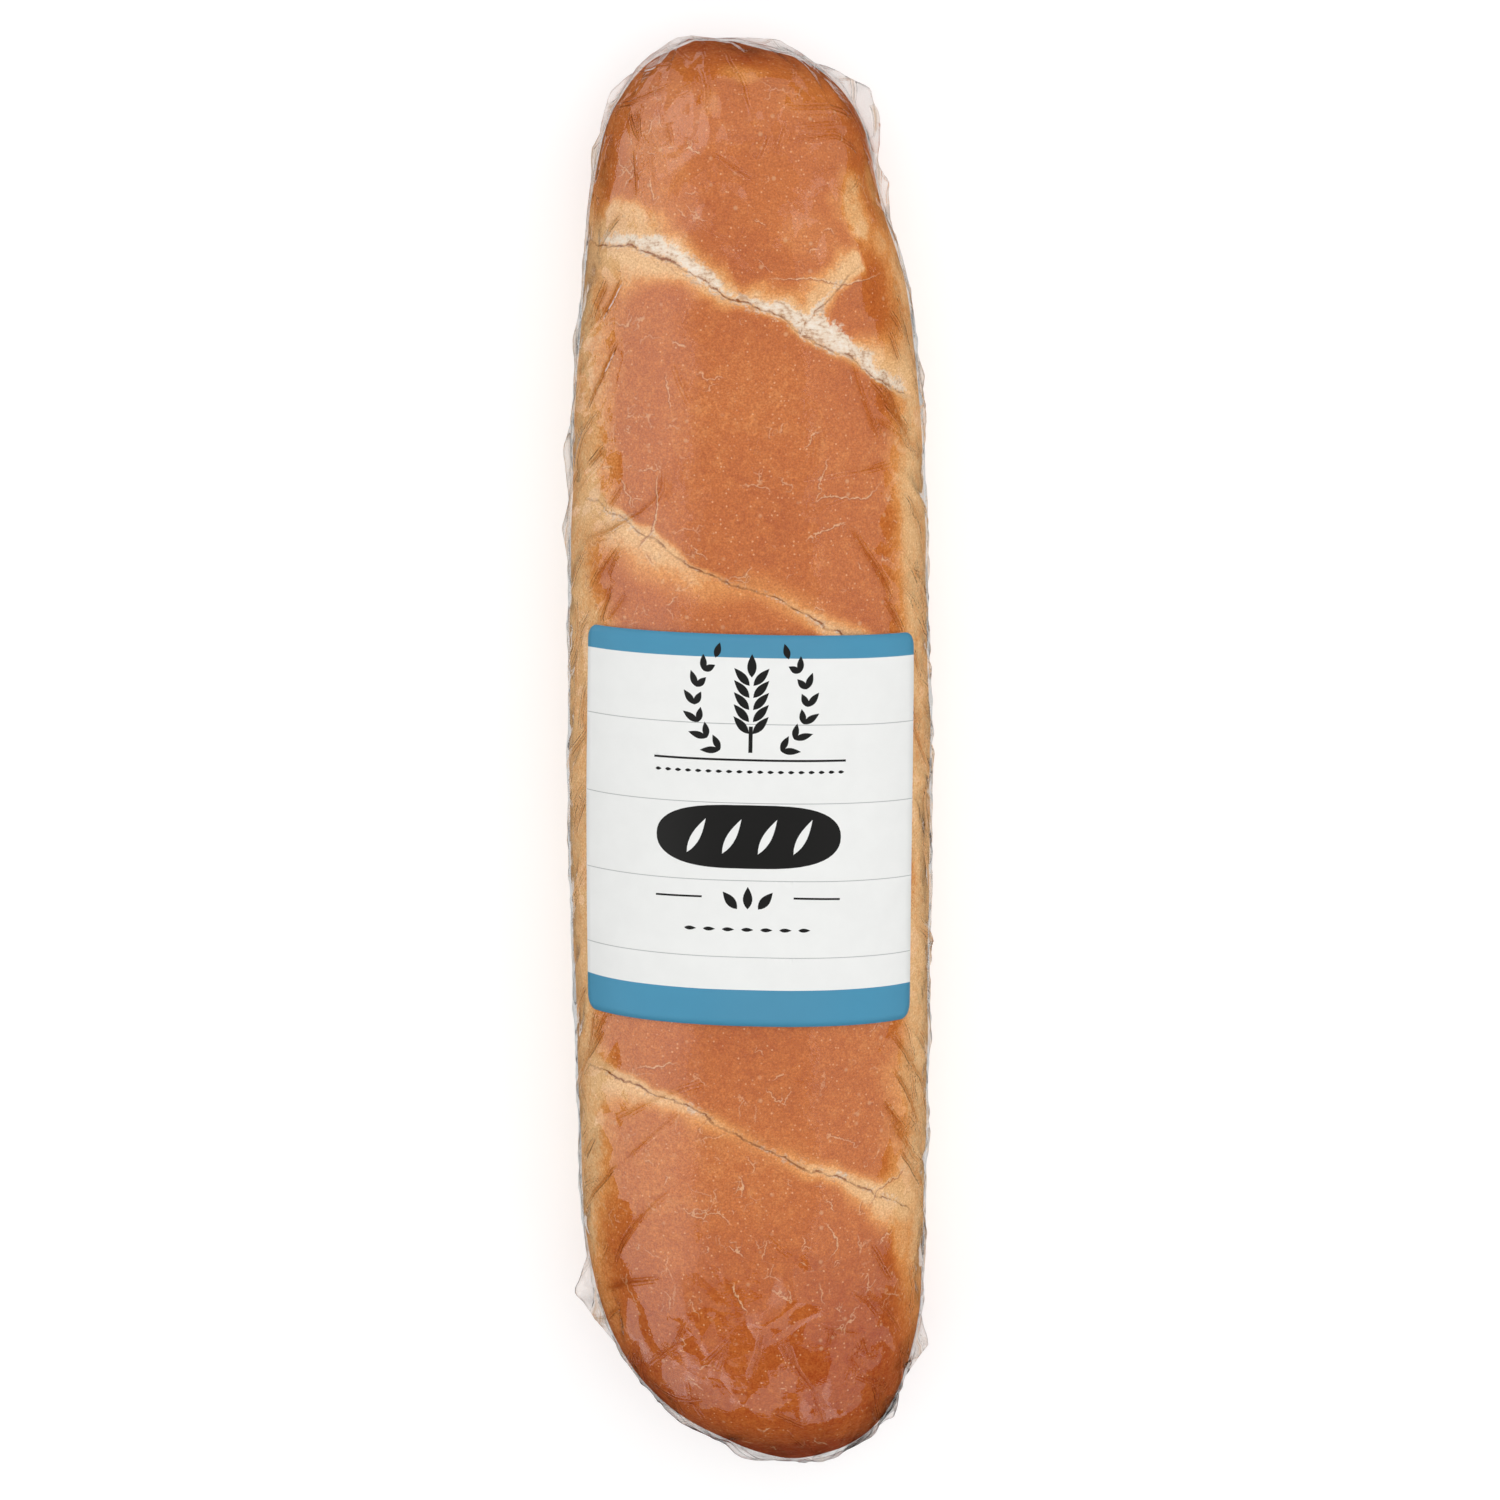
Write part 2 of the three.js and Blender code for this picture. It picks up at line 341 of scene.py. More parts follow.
class Skin:
    """A grid of points round the loaf, with its unrolled coordinates and its normals, in mm."""

    def __init__(self, rings, sides, offset, underside_share):
        self.angles = even_angles(sides, underside_share)
        self.points = section(stations(rings), self.angles, offset) + SHIFT
        ahead = np.roll(self.points, -1, axis=1)
        strides = np.linalg.norm(ahead - self.points, axis=2)
        walked = np.cumsum(strides, axis=1) - strides
        self.crown = int(np.argmin(np.abs(self.angles - np.pi / 2)))
        self.across = walked[:, self.crown : self.crown + 1] - walked
        self.along = self.points[:, :, 1]
        self.normals = self.find_normals(self.points)

    @staticmethod
    def find_normals(points):
        """Outward normals, from the differences between neighbours."""
        round_it = np.roll(points, -1, axis=1) - np.roll(points, 1, axis=1)
        down_it = np.gradient(points, axis=0)
        normals = np.cross(round_it, down_it)
        return normals / np.maximum(np.linalg.norm(normals, axis=2, keepdims=True), 1e-9)

    def unrolled(self, x, y):
        """How far a point of the plan lies from the crown, along the skin."""
        ring = np.argmin(np.abs(self.along[:, 0] - y))
        dome = slice(self.crown - len(self.angles) // 3, self.crown + len(self.angles) // 3)
        xs, across = self.points[ring, dome, 0], self.across[ring, dome]
        return float(np.interp(x, xs[::-1], across[::-1]))

    def unrolled_course(self, course):
        """A course of the plan, moved with the frame's origin and laid on the unrolled skin."""
        moved = [(row[0] + SHIFT[0], row[1] + SHIFT[1]) for row in course]
        return [(self.unrolled(x, y), y) for x, y in moved]

    def placed(self, across, along):
        """Points of space for unrolled coordinates on the dome, in between the grid's points."""
        rows = np.interp(-along, -self.along[:, 0], np.arange(len(self.along)))
        out = np.empty((len(rows), 3))
        for i, (row, s) in enumerate(zip(rows, across)):
            low = min(int(row), len(self.along) - 2)
            ends = []
            for ring in (low, low + 1):
                at = [np.interp(-s, -self.across[ring], self.points[ring, :, k]) for k in range(3)]
                ends.append(np.array(at))
            out[i] = ends[0] + (row - low) * (ends[1] - ends[0])
        return out


def frame_shift():
    """What moves the outline's own origin to the frame's, found from the loaf's box."""
    low, high = (np.array(corner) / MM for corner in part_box("loaf"))
    rows = stations(BOX_STATIONS)
    middle = np.array([(rows[:, 1].min() + rows[:, 2].max()) / 2, (rows[0, 0] + rows[-1, 0]) / 2])
    return np.append((low + high)[:2] / 2 - middle, 0.0)


SHIFT = frame_shift()


# ---------------------------------------------------------------- fields over the skin


def ease(low, high, values):
    """0 below low, 1 above high, and a smooth rise between them."""
    t = np.clip((values - low) / (high - low), 0, 1)
    return t * t * (3 - 2 * t)


def noise(points, cell, seed):
    """Smooth noise from -1 to 1 with features about as wide as the cell, the same each run."""
    table = np.random.default_rng(seed).uniform(-1, 1, (NOISE_CELLS,) * 3)
    place = points / cell
    corner = np.floor(place).astype(int)
    t = place - corner
    t = t * t * (3 - 2 * t)
    total = 0
    for dx in (0, 1):
        for dy in (0, 1):
            for dz in (0, 1):
                at = (corner + (dx, dy, dz)) % NOISE_CELLS
                share = np.abs(1 - dx - t[..., 0]) * np.abs(1 - dy - t[..., 1])
                total += share * np.abs(1 - dz - t[..., 2]) * table[at[..., 0], at[..., 1], at[..., 2]]
    return total


def line_field(skin, line, wide):
    """Near a line of the unrolled skin: which points, how far across it they lie, and its share."""
    line = np.asarray(line, float)
    low, high = line.min(axis=0) - wide, line.max(axis=0) + wide
    near = (skin.across > low[0]) & (skin.across < high[0])
    near &= (skin.along > low[1]) & (skin.along < high[1])
    across, along = skin.across[near], skin.along[near]
    nearest, side, share = np.full(across.shape, np.inf), np.ones(across.shape), np.zeros(across.shape)
    for i, (start, end) in enumerate(zip(line[:-1], line[1:])):
        run = end - start
        ds, dy = across - start[0], along - start[1]
        t = np.clip((ds * run[0] + dy * run[1]) / (run @ run), 0, 1)
        gap = np.hypot(ds - t * run[0], dy - t * run[1])
        closer = gap < nearest
        nearest = np.where(closer, gap, nearest)
        side = np.where(closer, np.sign(run[0] * dy - run[1] * ds), side)
        share = np.where(closer, (i + t) / (len(line) - 1), share)
    return near, nearest * side, share


def lumps(points):
    """The loaf's gentle unevenness, in mm."""
    return 0.6 * noise(points, 31, 3) + 0.25 * noise(points, 13, 4) - 0.3


def slash_fields(skin):
    """For the whole skin: height change, distance outside the open crumb, paleness, and the
    signed distance to the nearest crack with the strength of its painted shade."""
    height = np.zeros(skin.across.shape)
    outside = np.full(height.shape, FAR_OFF)
    pale = np.zeros(height.shape)
    crack = np.full(height.shape, FAR_OFF)
    crack_shade_strength = np.zeros(height.shape)
    wobble = 0.7 * noise(skin.points, 5, 21) + 0.35 * noise(skin.points, 2, 22)
    ragged = noise(skin.points, 7, 23) + 0.5 * noise(skin.points, 3, 24)
    for slash in SLASHES:
        rows = np.array(slash["rows"])
        line = smooth_course(skin.unrolled_course(rows), np.linspace(0, 1, 61))
        near, across, share = line_field(skin, line, 26)
        across = across + wobble[near] * 1.3
        place = share * (len(rows) - 1)
        near_crumb, far_crumb, near_fade, far_fade = (
            np.interp(place, np.arange(len(rows)), rows[:, k]) for k in range(2, 6)
        )
        ends = ease(0, 0.05, share) * ease(0, 0.05, 1 - share)
        fade = np.where(across < 0, near_crumb + near_fade, far_crumb + far_fade)
        fade = fade * (1 + 0.28 * ragged[near])
        soft = np.clip(1.2 - 0.85 * np.abs(across) / np.maximum(fade, 0.4), 0, 1) * (0.3 + 0.7 * ends)
        soft *= 1 - 0.5 * slash["closed"] * np.exp(-((skin.across[near] / 20) ** 2))
        pale[near] = np.maximum(pale[near], soft)
        rim = np.maximum(-across - near_crumb, across - far_crumb) + 4 * (1 - ends) + slash["closed"]
        rim += 0.9 * ragged[near]
        outside[near] = np.minimum(outside[near], rim)
        lip_line = across + near_crumb * 0.6 + 0.45 * ragged[near]
        nearer = np.abs(lip_line) < np.abs(crack[near])
        crack[near] = np.where(nearer, lip_line, crack[near])
        rise = ends * ease(4, 2, np.abs(lip_line)) * np.interp(share, (0, 0.5, 1), slash["crack"])
        crack_shade_strength[near] = np.where(nearer, rise, crack_shade_strength[near])
        wall = ease(0, 1, 1 + (across + near_crumb) / 1.2)
        wall *= ease(0, 1, 1 - (across - far_crumb) / (far_crumb + 2.5))
        lip = np.exp(-(((across + near_crumb + 1.8) / 1.3) ** 2))
        height[near] += ends * (0.34 * lip - slash["depth"] * wall)
        height[near] -= 0.22 * ends * np.exp(-((lip_line / 0.9) ** 2))
    return height, outside, pale, crack, crack_shade_strength


def patchy(skin, pale):
    """Adds the pale patches to the paleness, and takes it away where the crust stays brown."""
    ragged = noise(skin.points, 6, 26) + 0.6 * noise(skin.points, 2.5, 27)
    for x, y, half_width, half_length, turn, amount in PATCHES:
        (s, along), = skin.unrolled_course([(x, y)])
        turn = math.radians(turn)
        ds, dy = skin.across - s, skin.along - along
        u = (ds * math.cos(turn) + dy * math.sin(turn)) / half_width
        v = (dy * math.cos(turn) - ds * math.sin(turn)) / half_length
        share = np.clip(1.5 - np.hypot(u, v) - 0.3 * ragged, 0, 1)
        if amount > 0:
            pale = np.maximum(pale, amount * share)
        else:
            pale = pale * (1 + amount * share)
    return pale


def browning(skin):
    """How far each place is baked, 0 for pale to 1 for dark."""
    points, across, along = skin.points, np.abs(skin.across), skin.along
    middle = ease(0, 60, 190 - np.abs(along))
    baked = 0.64 + 0.09 * noise(points, 34, 31) + 0.04 * noise(points, 9, 32)
    flank = across + 6.5 - 1.5 * ease(-20, 20, skin.across) + 5 * noise(points, 14, 33)
    baked -= 0.6 * ease(42, 60, flank) * middle
    baked += 0.2 * ease(118, 170, -along + 5 * noise(points, 18, 34))
    baked += 0.14 * ease(187, 200, np.abs(along + 4 * noise(points, 15, 35)))
    baked += 0.5 * ease(187, 198, -along + 3 * noise(points, 8, 36))
    baked += 0.25 * ease(92, 106, across)
    return np.clip(baked, 0, 1)


def wandering_line(rng, start, heading, length, step, swing, jitter=0.0):
    """A line from a start that turns a little with every step, and zigzags by a jitter."""
    places = [start]
    for _ in range(max(2, int(length / step))):
        heading += rng.normal(0, swing)
        turn = heading + rng.normal(0, jitter)
        last = places[-1]
        places.append((last[0] + step * math.cos(turn), last[1] + step * math.sin(turn)))
    return places


def thin_lines(skin, lines, wide):
    """Signed distance from thin lines, and their strength, which dies away at each line's ends."""
    distance = np.full(skin.across.shape, wide)
    strength = np.zeros(skin.across.shape)
    for amount, line in lines:
        near, across, share = line_field(skin, line, wide)
        taper = np.clip(np.minimum(share, 1 - share) * 5, 0, 1)
        reach = amount * taper * np.exp(-((across / wide * 1.7) ** 2))
        closer = reach > strength[near]
        distance[near] = np.where(closer, across, distance[near])
        strength[near] = np.where(closer, reach, strength[near])
    return distance, strength


def flake_lines(skin, rng, count):
    """Fine cracks where the skin of the crust has lifted: the long ones, and a scatter of small ones."""
    lines = []
    for strength, course in CRUST_CRACKS:
        line = smooth_course(skin.unrolled_course(course), np.linspace(0, 1, 25))
        lines.append((strength, line + rng.normal(0, 0.28, line.shape)))
    while len(lines) < count:
        start = (rng.normal(0, 32), rng.uniform(-192, 192))
        if rng.random() < 0.3:
            start = (rng.uniform(-52, -14), rng.uniform(40, 190))
        elif rng.random() < 0.3:
            start = (rng.uniform(-40, 40), rng.uniform(-150, -90))
        heading = rng.uniform(0, 2 * np.pi)
        length = 2.5 + 10 * rng.random() ** 2.2
        line = wandering_line(rng, start, heading, length, 0.8, 0.2, 0.6)
        strength = rng.uniform(0.2, 0.75)
        lines.append((strength, line))
        if length > 6:
            fork = line[int(rng.uniform(0.3, 0.7) * len(line))]
            turned = heading + rng.choice((-1, 1)) * rng.uniform(0.6, 1.3)
            lines.append((strength * 0.8, wandering_line(rng, fork, turned, length * 0.5, 0.8, 0.2, 0.6)))
    return lines


def mesh_from(name, points, quads, triangles=()):
    """A smooth-shaded mesh in metres from points in mm and faces."""
    mesh = bpy.data.meshes.new(name)
    faces = [quads.reshape(-1, 4)] if len(quads) else []
    corners = np.concatenate([f.ravel() for f in faces] + [np.asarray(triangles, int).ravel()])
    sizes = np.concatenate([np.full(len(f), 4) for f in faces] + [np.full(len(triangles), 3)])
    mesh.vertices.add(len(points))
    mesh.vertices.foreach_set("co", (np.asarray(points) * MM).ravel())
    mesh.loops.add(len(corners))
    mesh.loops.foreach_set("vertex_index", corners.astype(np.int32))
    mesh.polygons.add(len(sizes))
    mesh.polygons.foreach_set("loop_start", (np.cumsum(sizes) - sizes).astype(np.int32))
    mesh.update(calc_edges=True)
    mesh.validate()
    mesh.shade_smooth()
    return mesh


def closed_skin(name, points):
    """The mesh of a skin: its grid, and a fan of triangles over each end."""
    rings, sides = points.shape[:2]
    index = np.arange(rings * sides).reshape(rings, sides)
    beside = np.roll(index, -1, axis=1)
    quads = np.stack([index[:-1], beside[:-1], beside[1:], index[1:]], axis=-1)
    tips = [rings * sides, rings * sides + 1]
    fans = [np.stack([beside[0], index[0], np.full(sides, tips[0])], axis=1)]
    fans.append(np.stack([index[-1], beside[-1], np.full(sides, tips[1])], axis=1))
    middles = [points[0].mean(axis=0), points[-1].mean(axis=0)]
    return mesh_from(name, np.vstack([points.reshape(-1, 3), middles]), quads, np.vstack(fans))


def add_field(mesh, name, values):
    """Stores one number per point for the material to read; the two tips take their ring's."""
    flat = np.concatenate([values.ravel(), [values[0].mean(), values[-1].mean()]])
    field = mesh.attributes.new(name, "FLOAT", "POINT")
    field.data.foreach_set("value", flat.astype(np.float32))


# ---------------------------------------------------------------- material helpers


def put(tree, kind, inputs=None, **settings):
    """Adds a node, sets its properties, and fills or links its inputs."""
    made = tree.nodes.new(kind)
    for name, value in settings.items():
        setattr(made, name, value)
    for name, value in (inputs or {}).items():
        if isinstance(value, bpy.types.NodeSocket):
            tree.links.new(value, made.inputs[name])
        else:
            made.inputs[name].default_value = value
    return made


def sum_up(tree, operation, a, b=0.0, c=0.0, clamp=False):
    """One step of arithmetic."""
    inputs = {0: a, 1: b, 2: c}
    return put(tree, "ShaderNodeMath", inputs, operation=operation, use_clamp=clamp).outputs[0]


def span(tree, value, low, high, to_low=0.0, to_high=1.0):
    """Maps low to high onto another range, with smooth ends."""
    inputs = {"Value": value, "From Min": low, "From Max": high, "To Min": to_low, "To Max": to_high}
    made = put(tree, "ShaderNodeMapRange", inputs, interpolation_type="SMOOTHSTEP")
    return made.outputs["Result"]


def tint(tree, share, a, b, blend="MIX"):
    """Mixes two colours."""
    inputs = {0: share, 6: a, 7: b}
    made = put(tree, "ShaderNodeMix", inputs, data_type="RGBA", blend_type=blend)
    return made.outputs[2]


def colours(tree, value, stops):
    """A colour ramp."""
    made = put(tree, "ShaderNodeValToRGB", {"Fac": value})
    ramp = made.color_ramp
    while len(ramp.elements) < len(stops):
        ramp.elements.new(0.5)
    for element, (place, colour) in zip(ramp.elements, stops):
        element.position = place
        element.color = (*colour, 1)
    return made.outputs["Color"]


def field(tree, name):
    """A number stored on the piece's points."""
    return put(tree, "ShaderNodeAttribute", attribute_name=name).outputs["Fac"]


def new_material(name):
    """A material with its node tree emptied but for the output."""
    material = bpy.data.materials.new(name)
    material.use_nodes = True
    material.node_tree.nodes.clear()
    out = material.node_tree.nodes.new("ShaderNodeOutputMaterial")
    return material, material.node_tree, out


def grain_group():
    """A shared effect: fine grain of a given size, as a mask round one half and as a height."""
    if "fine_grain" in bpy.data.node_groups:
        return bpy.data.node_groups["fine_grain"]
    tree = bpy.data.node_groups.new("fine_grain", "ShaderNodeTree")
    for name, kind, value in (
        ("Place", "NodeSocketVector", None),
        ("Per Metre", "NodeSocketFloat", 800.0),
        ("Contrast", "NodeSocketFloat", 1.0),
    ):
        socket = tree.interface.new_socket(name, in_out="INPUT", socket_type=kind)
        if value is not None:
            socket.default_value = value
    tree.interface.new_socket("Mask", in_out="OUTPUT", socket_type="NodeSocketFloat")
    tree.interface.new_socket("Height", in_out="OUTPUT", socket_type="NodeSocketFloat")
    given = tree.nodes.new("NodeGroupInput")
    out = tree.nodes.new("NodeGroupOutput")
    inputs = {"Vector": given.outputs["Place"], "Scale": given.outputs["Per Metre"]}
    clouds = put(tree, "ShaderNodeTexNoise", {**inputs, "Detail": 4.0, "Roughness": 0.6})
    centred = sum_up(tree, "SUBTRACT", clouds.outputs["Fac"], 0.5)
    spread = sum_up(tree, "MULTIPLY", centred, given.outputs["Contrast"])
    tree.links.new(sum_up(tree, "ADD", spread, 0.5, clamp=True), out.inputs["Mask"])
    tree.links.new(clouds.outputs["Fac"], out.inputs["Height"])
    return tree


def grain(tree, place, per_metre, contrast=1.0):
    """Places the shared grain in a material; gives its mask and its height."""
    made = put(tree, "ShaderNodeGroup", node_tree=grain_group())
    tree.links.new(place, made.inputs["Place"])
    made.inputs["Per Metre"].default_value = per_metre
    made.inputs["Contrast"].default_value = contrast
    return made.outputs["Mask"], made.outputs["Height"]


def object_place(tree):
    """The piece's own coordinates, in metres."""
    return put(tree, "ShaderNodeTexCoord").outputs["Object"]


# ---------------------------------------------------------------- materials


def stripe(tree, distance, middle, half):
    """A soft mask round one value of a signed distance."""
    off = sum_up(tree, "ABSOLUTE", sum_up(tree, "SUBTRACT", distance, middle))
    return span(tree, off, half, half * 0.3)


def wobbled(tree, value, mask, amount):
    """A value moved up and down by a mask that lies round one half."""
    return sum_up(tree, "MULTIPLY_ADD", sum_up(tree, "SUBTRACT", mask, 0.5), amount, value)


def crust_material(bread):
    """Baked crust, torn crumb in the slashes, and cracks, from the fields on the loaf. Painted shade
    darkens the groove of each crack, the holes of the crumb and one side of each lifted flake.
    """
    material, tree, out = new_material("baked_crust")
    place = object_place(tree)
    coarse, _ = grain(tree, place, 75.0, 1.7)
    blotch, _ = grain(tree, place, 280.0, 2.0)
    fine, fine_height = grain(tree, place, 800.0, 2.4)
    grit, _ = grain(tree, place, 1900.0, 3.0)
    combed = {"Vector": place, "Rotation": (0, 0, 0.5), "Scale": (0.4, 1.2, 1.0)}
    combed = put(tree, "ShaderNodeMapping", combed).outputs["Vector"]
    pore_shade, pore_height = grain(tree, combed, 1300.0, 1.6)

    baked = wobbled(tree, field(tree, "baked"), coarse, 0.07)
    baked = wobbled(tree, baked, blotch, 0.2)
    baked = wobbled(tree, baked, fine, 0.2)
    pale = wobbled(tree, field(tree, "pale"), blotch, 0.24)
    pale = wobbled(tree, pale, fine, 0.26)
    pale = wobbled(tree, pale, coarse, 0.2)
    left = sum_up(tree, "MULTIPLY_ADD", span(tree, pale, 0.05, 1.0), -0.97, 1.0)
    baked = sum_up(tree, "MULTIPLY", baked, left)
    stops = [
        (0.0, tuple(bread.young_colour)),
        (0.28, tuple(bread.golden_colour)),
        (0.6, tuple(bread.crust_colour)),
        (1.0, tuple(bread.dark_colour)),
    ]
    crust = colours(tree, baked, stops)
    crust = tint(tree, span(tree, grit, 0.45, 1.0), crust, (0.82, 0.72, 0.64, 1), "MULTIPLY")
    crust = tint(tree, span(tree, grit, 0.45, 0.0), crust, (1.18, 1.3, 1.42, 1), "MULTIPLY")

    blisters = put(tree, "ShaderNodeTexVoronoi", {"Vector": place, "Scale": 300.0}, feature="F1")
    chosen = put(tree, "ShaderNodeSeparateColor", {"Color": blisters.outputs["Color"]})
    blister = span(tree, blisters.outputs["Distance"], 0.26, 0.08)
    blister = sum_up(tree, "MULTIPLY", blister, span(tree, chosen.outputs[0], 0.8, 0.95))
    crust = tint(tree, sum_up(tree, "MULTIPLY", blister, 0.34), crust, (0.9, 0.6, 0.34, 1))
    flecks = put(tree, "ShaderNodeTexVoronoi", {"Vector": place, "Scale": 850.0}, feature="F1")
    picked = put(tree, "ShaderNodeSeparateColor", {"Color": flecks.outputs["Color"]})
    fleck = span(tree, flecks.outputs["Distance"], 0.3, 0.12)
    fleck = sum_up(tree, "MULTIPLY", fleck, span(tree, picked.outputs[1], 0.6, 0.95))
    crust = tint(tree, sum_up(tree, "MULTIPLY", fleck, 0.6), crust, (0.93, 0.58, 0.3, 1))

    # Each flake is a pale line of lifted crust with a painted shadow along one side.
    flake = wobbled(tree, field(tree, "flake"), fine, 0.8)
    lifted = sum_up(tree, "MULTIPLY", stripe(tree, flake, 0.1, 0.22), field(tree, "flake_rise"))
    shaded = sum_up(tree, "MULTIPLY", stripe(tree, flake, -0.22, 0.28), field(tree, "flake_rise"))
    crust = tint(tree, sum_up(tree, "MULTIPLY", lifted, 0.85), crust, (0.95, 0.64, 0.38, 1))
    crust = tint(tree, sum_up(tree, "MULTIPLY", shaded, 0.7), crust, (0.42, 0.1, 0.025, 1))

    torn = wobbled(tree, field(tree, "outside"), fine, 2.8)
    torn = span(tree, wobbled(tree, torn, blotch, 2.4), 1.2, -0.7)
    # The crumb's tones vary at random; its darkest tone is painted shade in the crumb's holes.
    crumb_stops = [
        (0.14, (0.62, 0.4, 0.26)),
        (0.4, tuple(bread.crumb_colour)),
        (0.85, tuple(bread.flour_colour)),
    ]
    crumb = colours(tree, wobbled(tree, wobbled(tree, pore_shade, blotch, 0.8), fine, 0.5), crumb_stops)
    colour = tint(tree, torn, crust, crumb)

    # Painted shade in the groove of each slash: a brown band beside the crack and a dark line along it.
    crack = wobbled(tree, field(tree, "crack"), blotch, 0.9)
    crack = wobbled(tree, crack, fine, 0.5)
    groove_shade = span(tree, blotch, 0.8, 0.25, 0.3, 1.0)
    groove_shade = sum_up(tree, "MULTIPLY", groove_shade, field(tree, "crack_shade_strength"))
    shade = sum_up(tree, "MULTIPLY", stripe(tree, crack, 0.25, 0.9), groove_shade)
    colour = tint(tree, sum_up(tree, "MULTIPLY", shade, 0.4), colour, (0.6, 0.32, 0.13, 1))
    crack = sum_up(tree, "MULTIPLY", stripe(tree, crack, 0.0, 0.42), groove_shade)
    colour = tint(tree, crack, colour, (0.3, 0.085, 0.01, 1))

    relief = sum_up(tree, "MULTIPLY", fine_height, 0.00022)
    relief = sum_up(tree, "MULTIPLY_ADD", blister, 0.00012, relief)
    relief = sum_up(tree, "MULTIPLY_ADD", lifted, 0.00012, relief)
    relief = sum_up(tree, "MULTIPLY_ADD", sum_up(tree, "MULTIPLY", pore_height, torn), 0.0001, relief)
    bump = put(tree, "ShaderNodeBump", {"Height": relief, "Distance": 1.0, "Strength": 1.0})
    rough = span(tree, fine, 0.2, 0.8, 0.5, 0.68)
    rough = sum_up(tree, "MULTIPLY_ADD", torn, 0.3, rough, clamp=True)
    inputs = {
        "Base Color": colour,
        "Roughness": rough,
        "Normal": bump.outputs["Normal"],
        "Specular IOR Level": 0.15,
    }
    shader = put(tree, "ShaderNodeBsdfPrincipled", inputs)
    tree.links.new(shader.outputs[0], out.inputs["Surface"])
    return material


def facet_normal(tree, place, loose):
    """The skin's normal, tipped at random on each flat of the crumpled film."""
    turned = {"Vector": place, "Rotation": (0, 0, 0.45), "Scale": (1.25, 0.95, 1.2)}
    stretched = put(tree, "ShaderNodeMapping", turned).outputs["Vector"]
    tipped = put(tree, "ShaderNodeNewGeometry").outputs["Normal"]
    for per_metre, tilt in ((80.0, 0.3), (200.0, 0.09)):
        cells = put(tree, "ShaderNodeTexVoronoi", {"Vector": stretched, "Scale": per_metre}, feature="F1")
        lean = {0: cells.outputs["Color"], 1: (0.5, 0.5, 0.5)}
        lean = put(tree, "ShaderNodeVectorMath", lean, operation="SUBTRACT").outputs[0]
        added = {0: lean, 1: sum_up(tree, "MULTIPLY", loose, tilt), 2: tipped}
        tipped = put(tree, "ShaderNodeVectorMath", added, operation="MULTIPLY_ADD").outputs[0]
    return put(tree, "ShaderNodeVectorMath", {0: tipped}, operation="NORMALIZE").outputs[0]


def film_material(film):
    """Clear glossy film: it shows what is behind it, and mirrors more the flatter it is seen. Along its
    creases a painted shade tints it brown and cuts its mirroring.
    """
    material, tree, out = new_material("shrink_film")
    place = object_place(tree)
    _, soft = grain(tree, place, 140.0)
    crease = wobbled(tree, field(tree, "crease"), soft, 0.9)
    ripple = sum_up(tree, "SINE", sum_up(tree, "MULTIPLY", crease, 6.0))
    bundle = sum_up(tree, "MULTIPLY", ripple, stripe(tree, crease, 0.0, 1.5))
    bundle = sum_up(tree, "MULTIPLY", bundle, sum_up(tree, "MULTIPLY", field(tree, "crease_rise"), 1.6))
    relief = sum_up(tree, "MULTIPLY", soft, 0.0002)
    relief = sum_up(tree, "MULTIPLY_ADD", bundle, 0.0002, relief)
    flats = facet_normal(tree, place, field(tree, "loose"))
    bumps = {"Height": relief, "Distance": 1.0, "Strength": 1.0, "Normal": flats}
    bump = put(tree, "ShaderNodeBump", bumps)
    normal = bump.outputs["Normal"]
    facing = put(tree, "ShaderNodeLayerWeight", {"Blend": 0.5, "Normal": normal}).outputs["Facing"]
    steep = sum_up(tree, "POWER", facing, 5.0)
    mirrored = sum_up(tree, "MULTIPLY_ADD", steep, 1 - film.mirror, film.mirror, clamp=True)
    # Painted shade along the creases: a thin dark line and a wider brown band on one side, where the film's
    # see-through colour turns brown and its mirroring is cut.
    fold_shade = sum_up(tree, "MULTIPLY", stripe(tree, crease, 0.15, 0.45), 0.2)
    fold_shade = sum_up(tree, "MULTIPLY_ADD", stripe(tree, crease, 1.0, 2.4), 0.34, fold_shade)
    fold_shade = sum_up(tree, "MULTIPLY", fold_shade, field(tree, "crease_rise"), clamp=True)
    open_share = sum_up(tree, "MULTIPLY_ADD", fold_shade, -1.6, 1.0, clamp=True)
    mirrored = sum_up(tree, "MULTIPLY", mirrored, open_share)
    clear_with_fold_shade = tint(tree, fold_shade, (0.985, 0.985, 0.98, 1), (0.55, 0.38, 0.22, 1))
    clear = put(tree, "ShaderNodeBsdfTransparent", {"Color": clear_with_fold_shade})
    gloss_inputs = {"Color": (1, 1, 1, 1), "Roughness": 0.03, "Normal": normal}
    gloss = put(tree, "ShaderNodeBsdfGlossy", gloss_inputs)
    both = put(tree, "ShaderNodeMixShader", {0: mirrored, 1: clear.outputs[0], 2: gloss.outputs[0]})
    tree.links.new(both.outputs[0], out.inputs["Surface"])
    return material


def print_material(name, colour, rough):
    """A printed paper surface: faint fibres, and ink that is a little uneven."""
    material, tree, out = new_material(name)
    place = object_place(tree)
    cloud, _ = grain(tree, place, 120.0)
    fibre, height = grain(tree, place, 2600.0)
    darker = tuple(0.965 * c for c in colour)
    shade = tint(tree, span(tree, cloud, 0.2, 0.8), (*darker, 1), (*colour, 1))
    relief = sum_up(tree, "MULTIPLY", height, 0.00002)
    bump = put(tree, "ShaderNodeBump", {"Height": relief, "Distance": 1.0})
    inputs = {
        "Base Color": shade,
        "Roughness": span(tree, fibre, 0.2, 0.8, rough - 0.05, rough + 0.08),
        "Normal": bump.outputs["Normal"],
        "Specular IOR Level": 0.3,
    }
    shader = put(tree, "ShaderNodeBsdfPrincipled", inputs)
    tree.links.new(shader.outputs[0], out.inputs["Surface"])
    return material


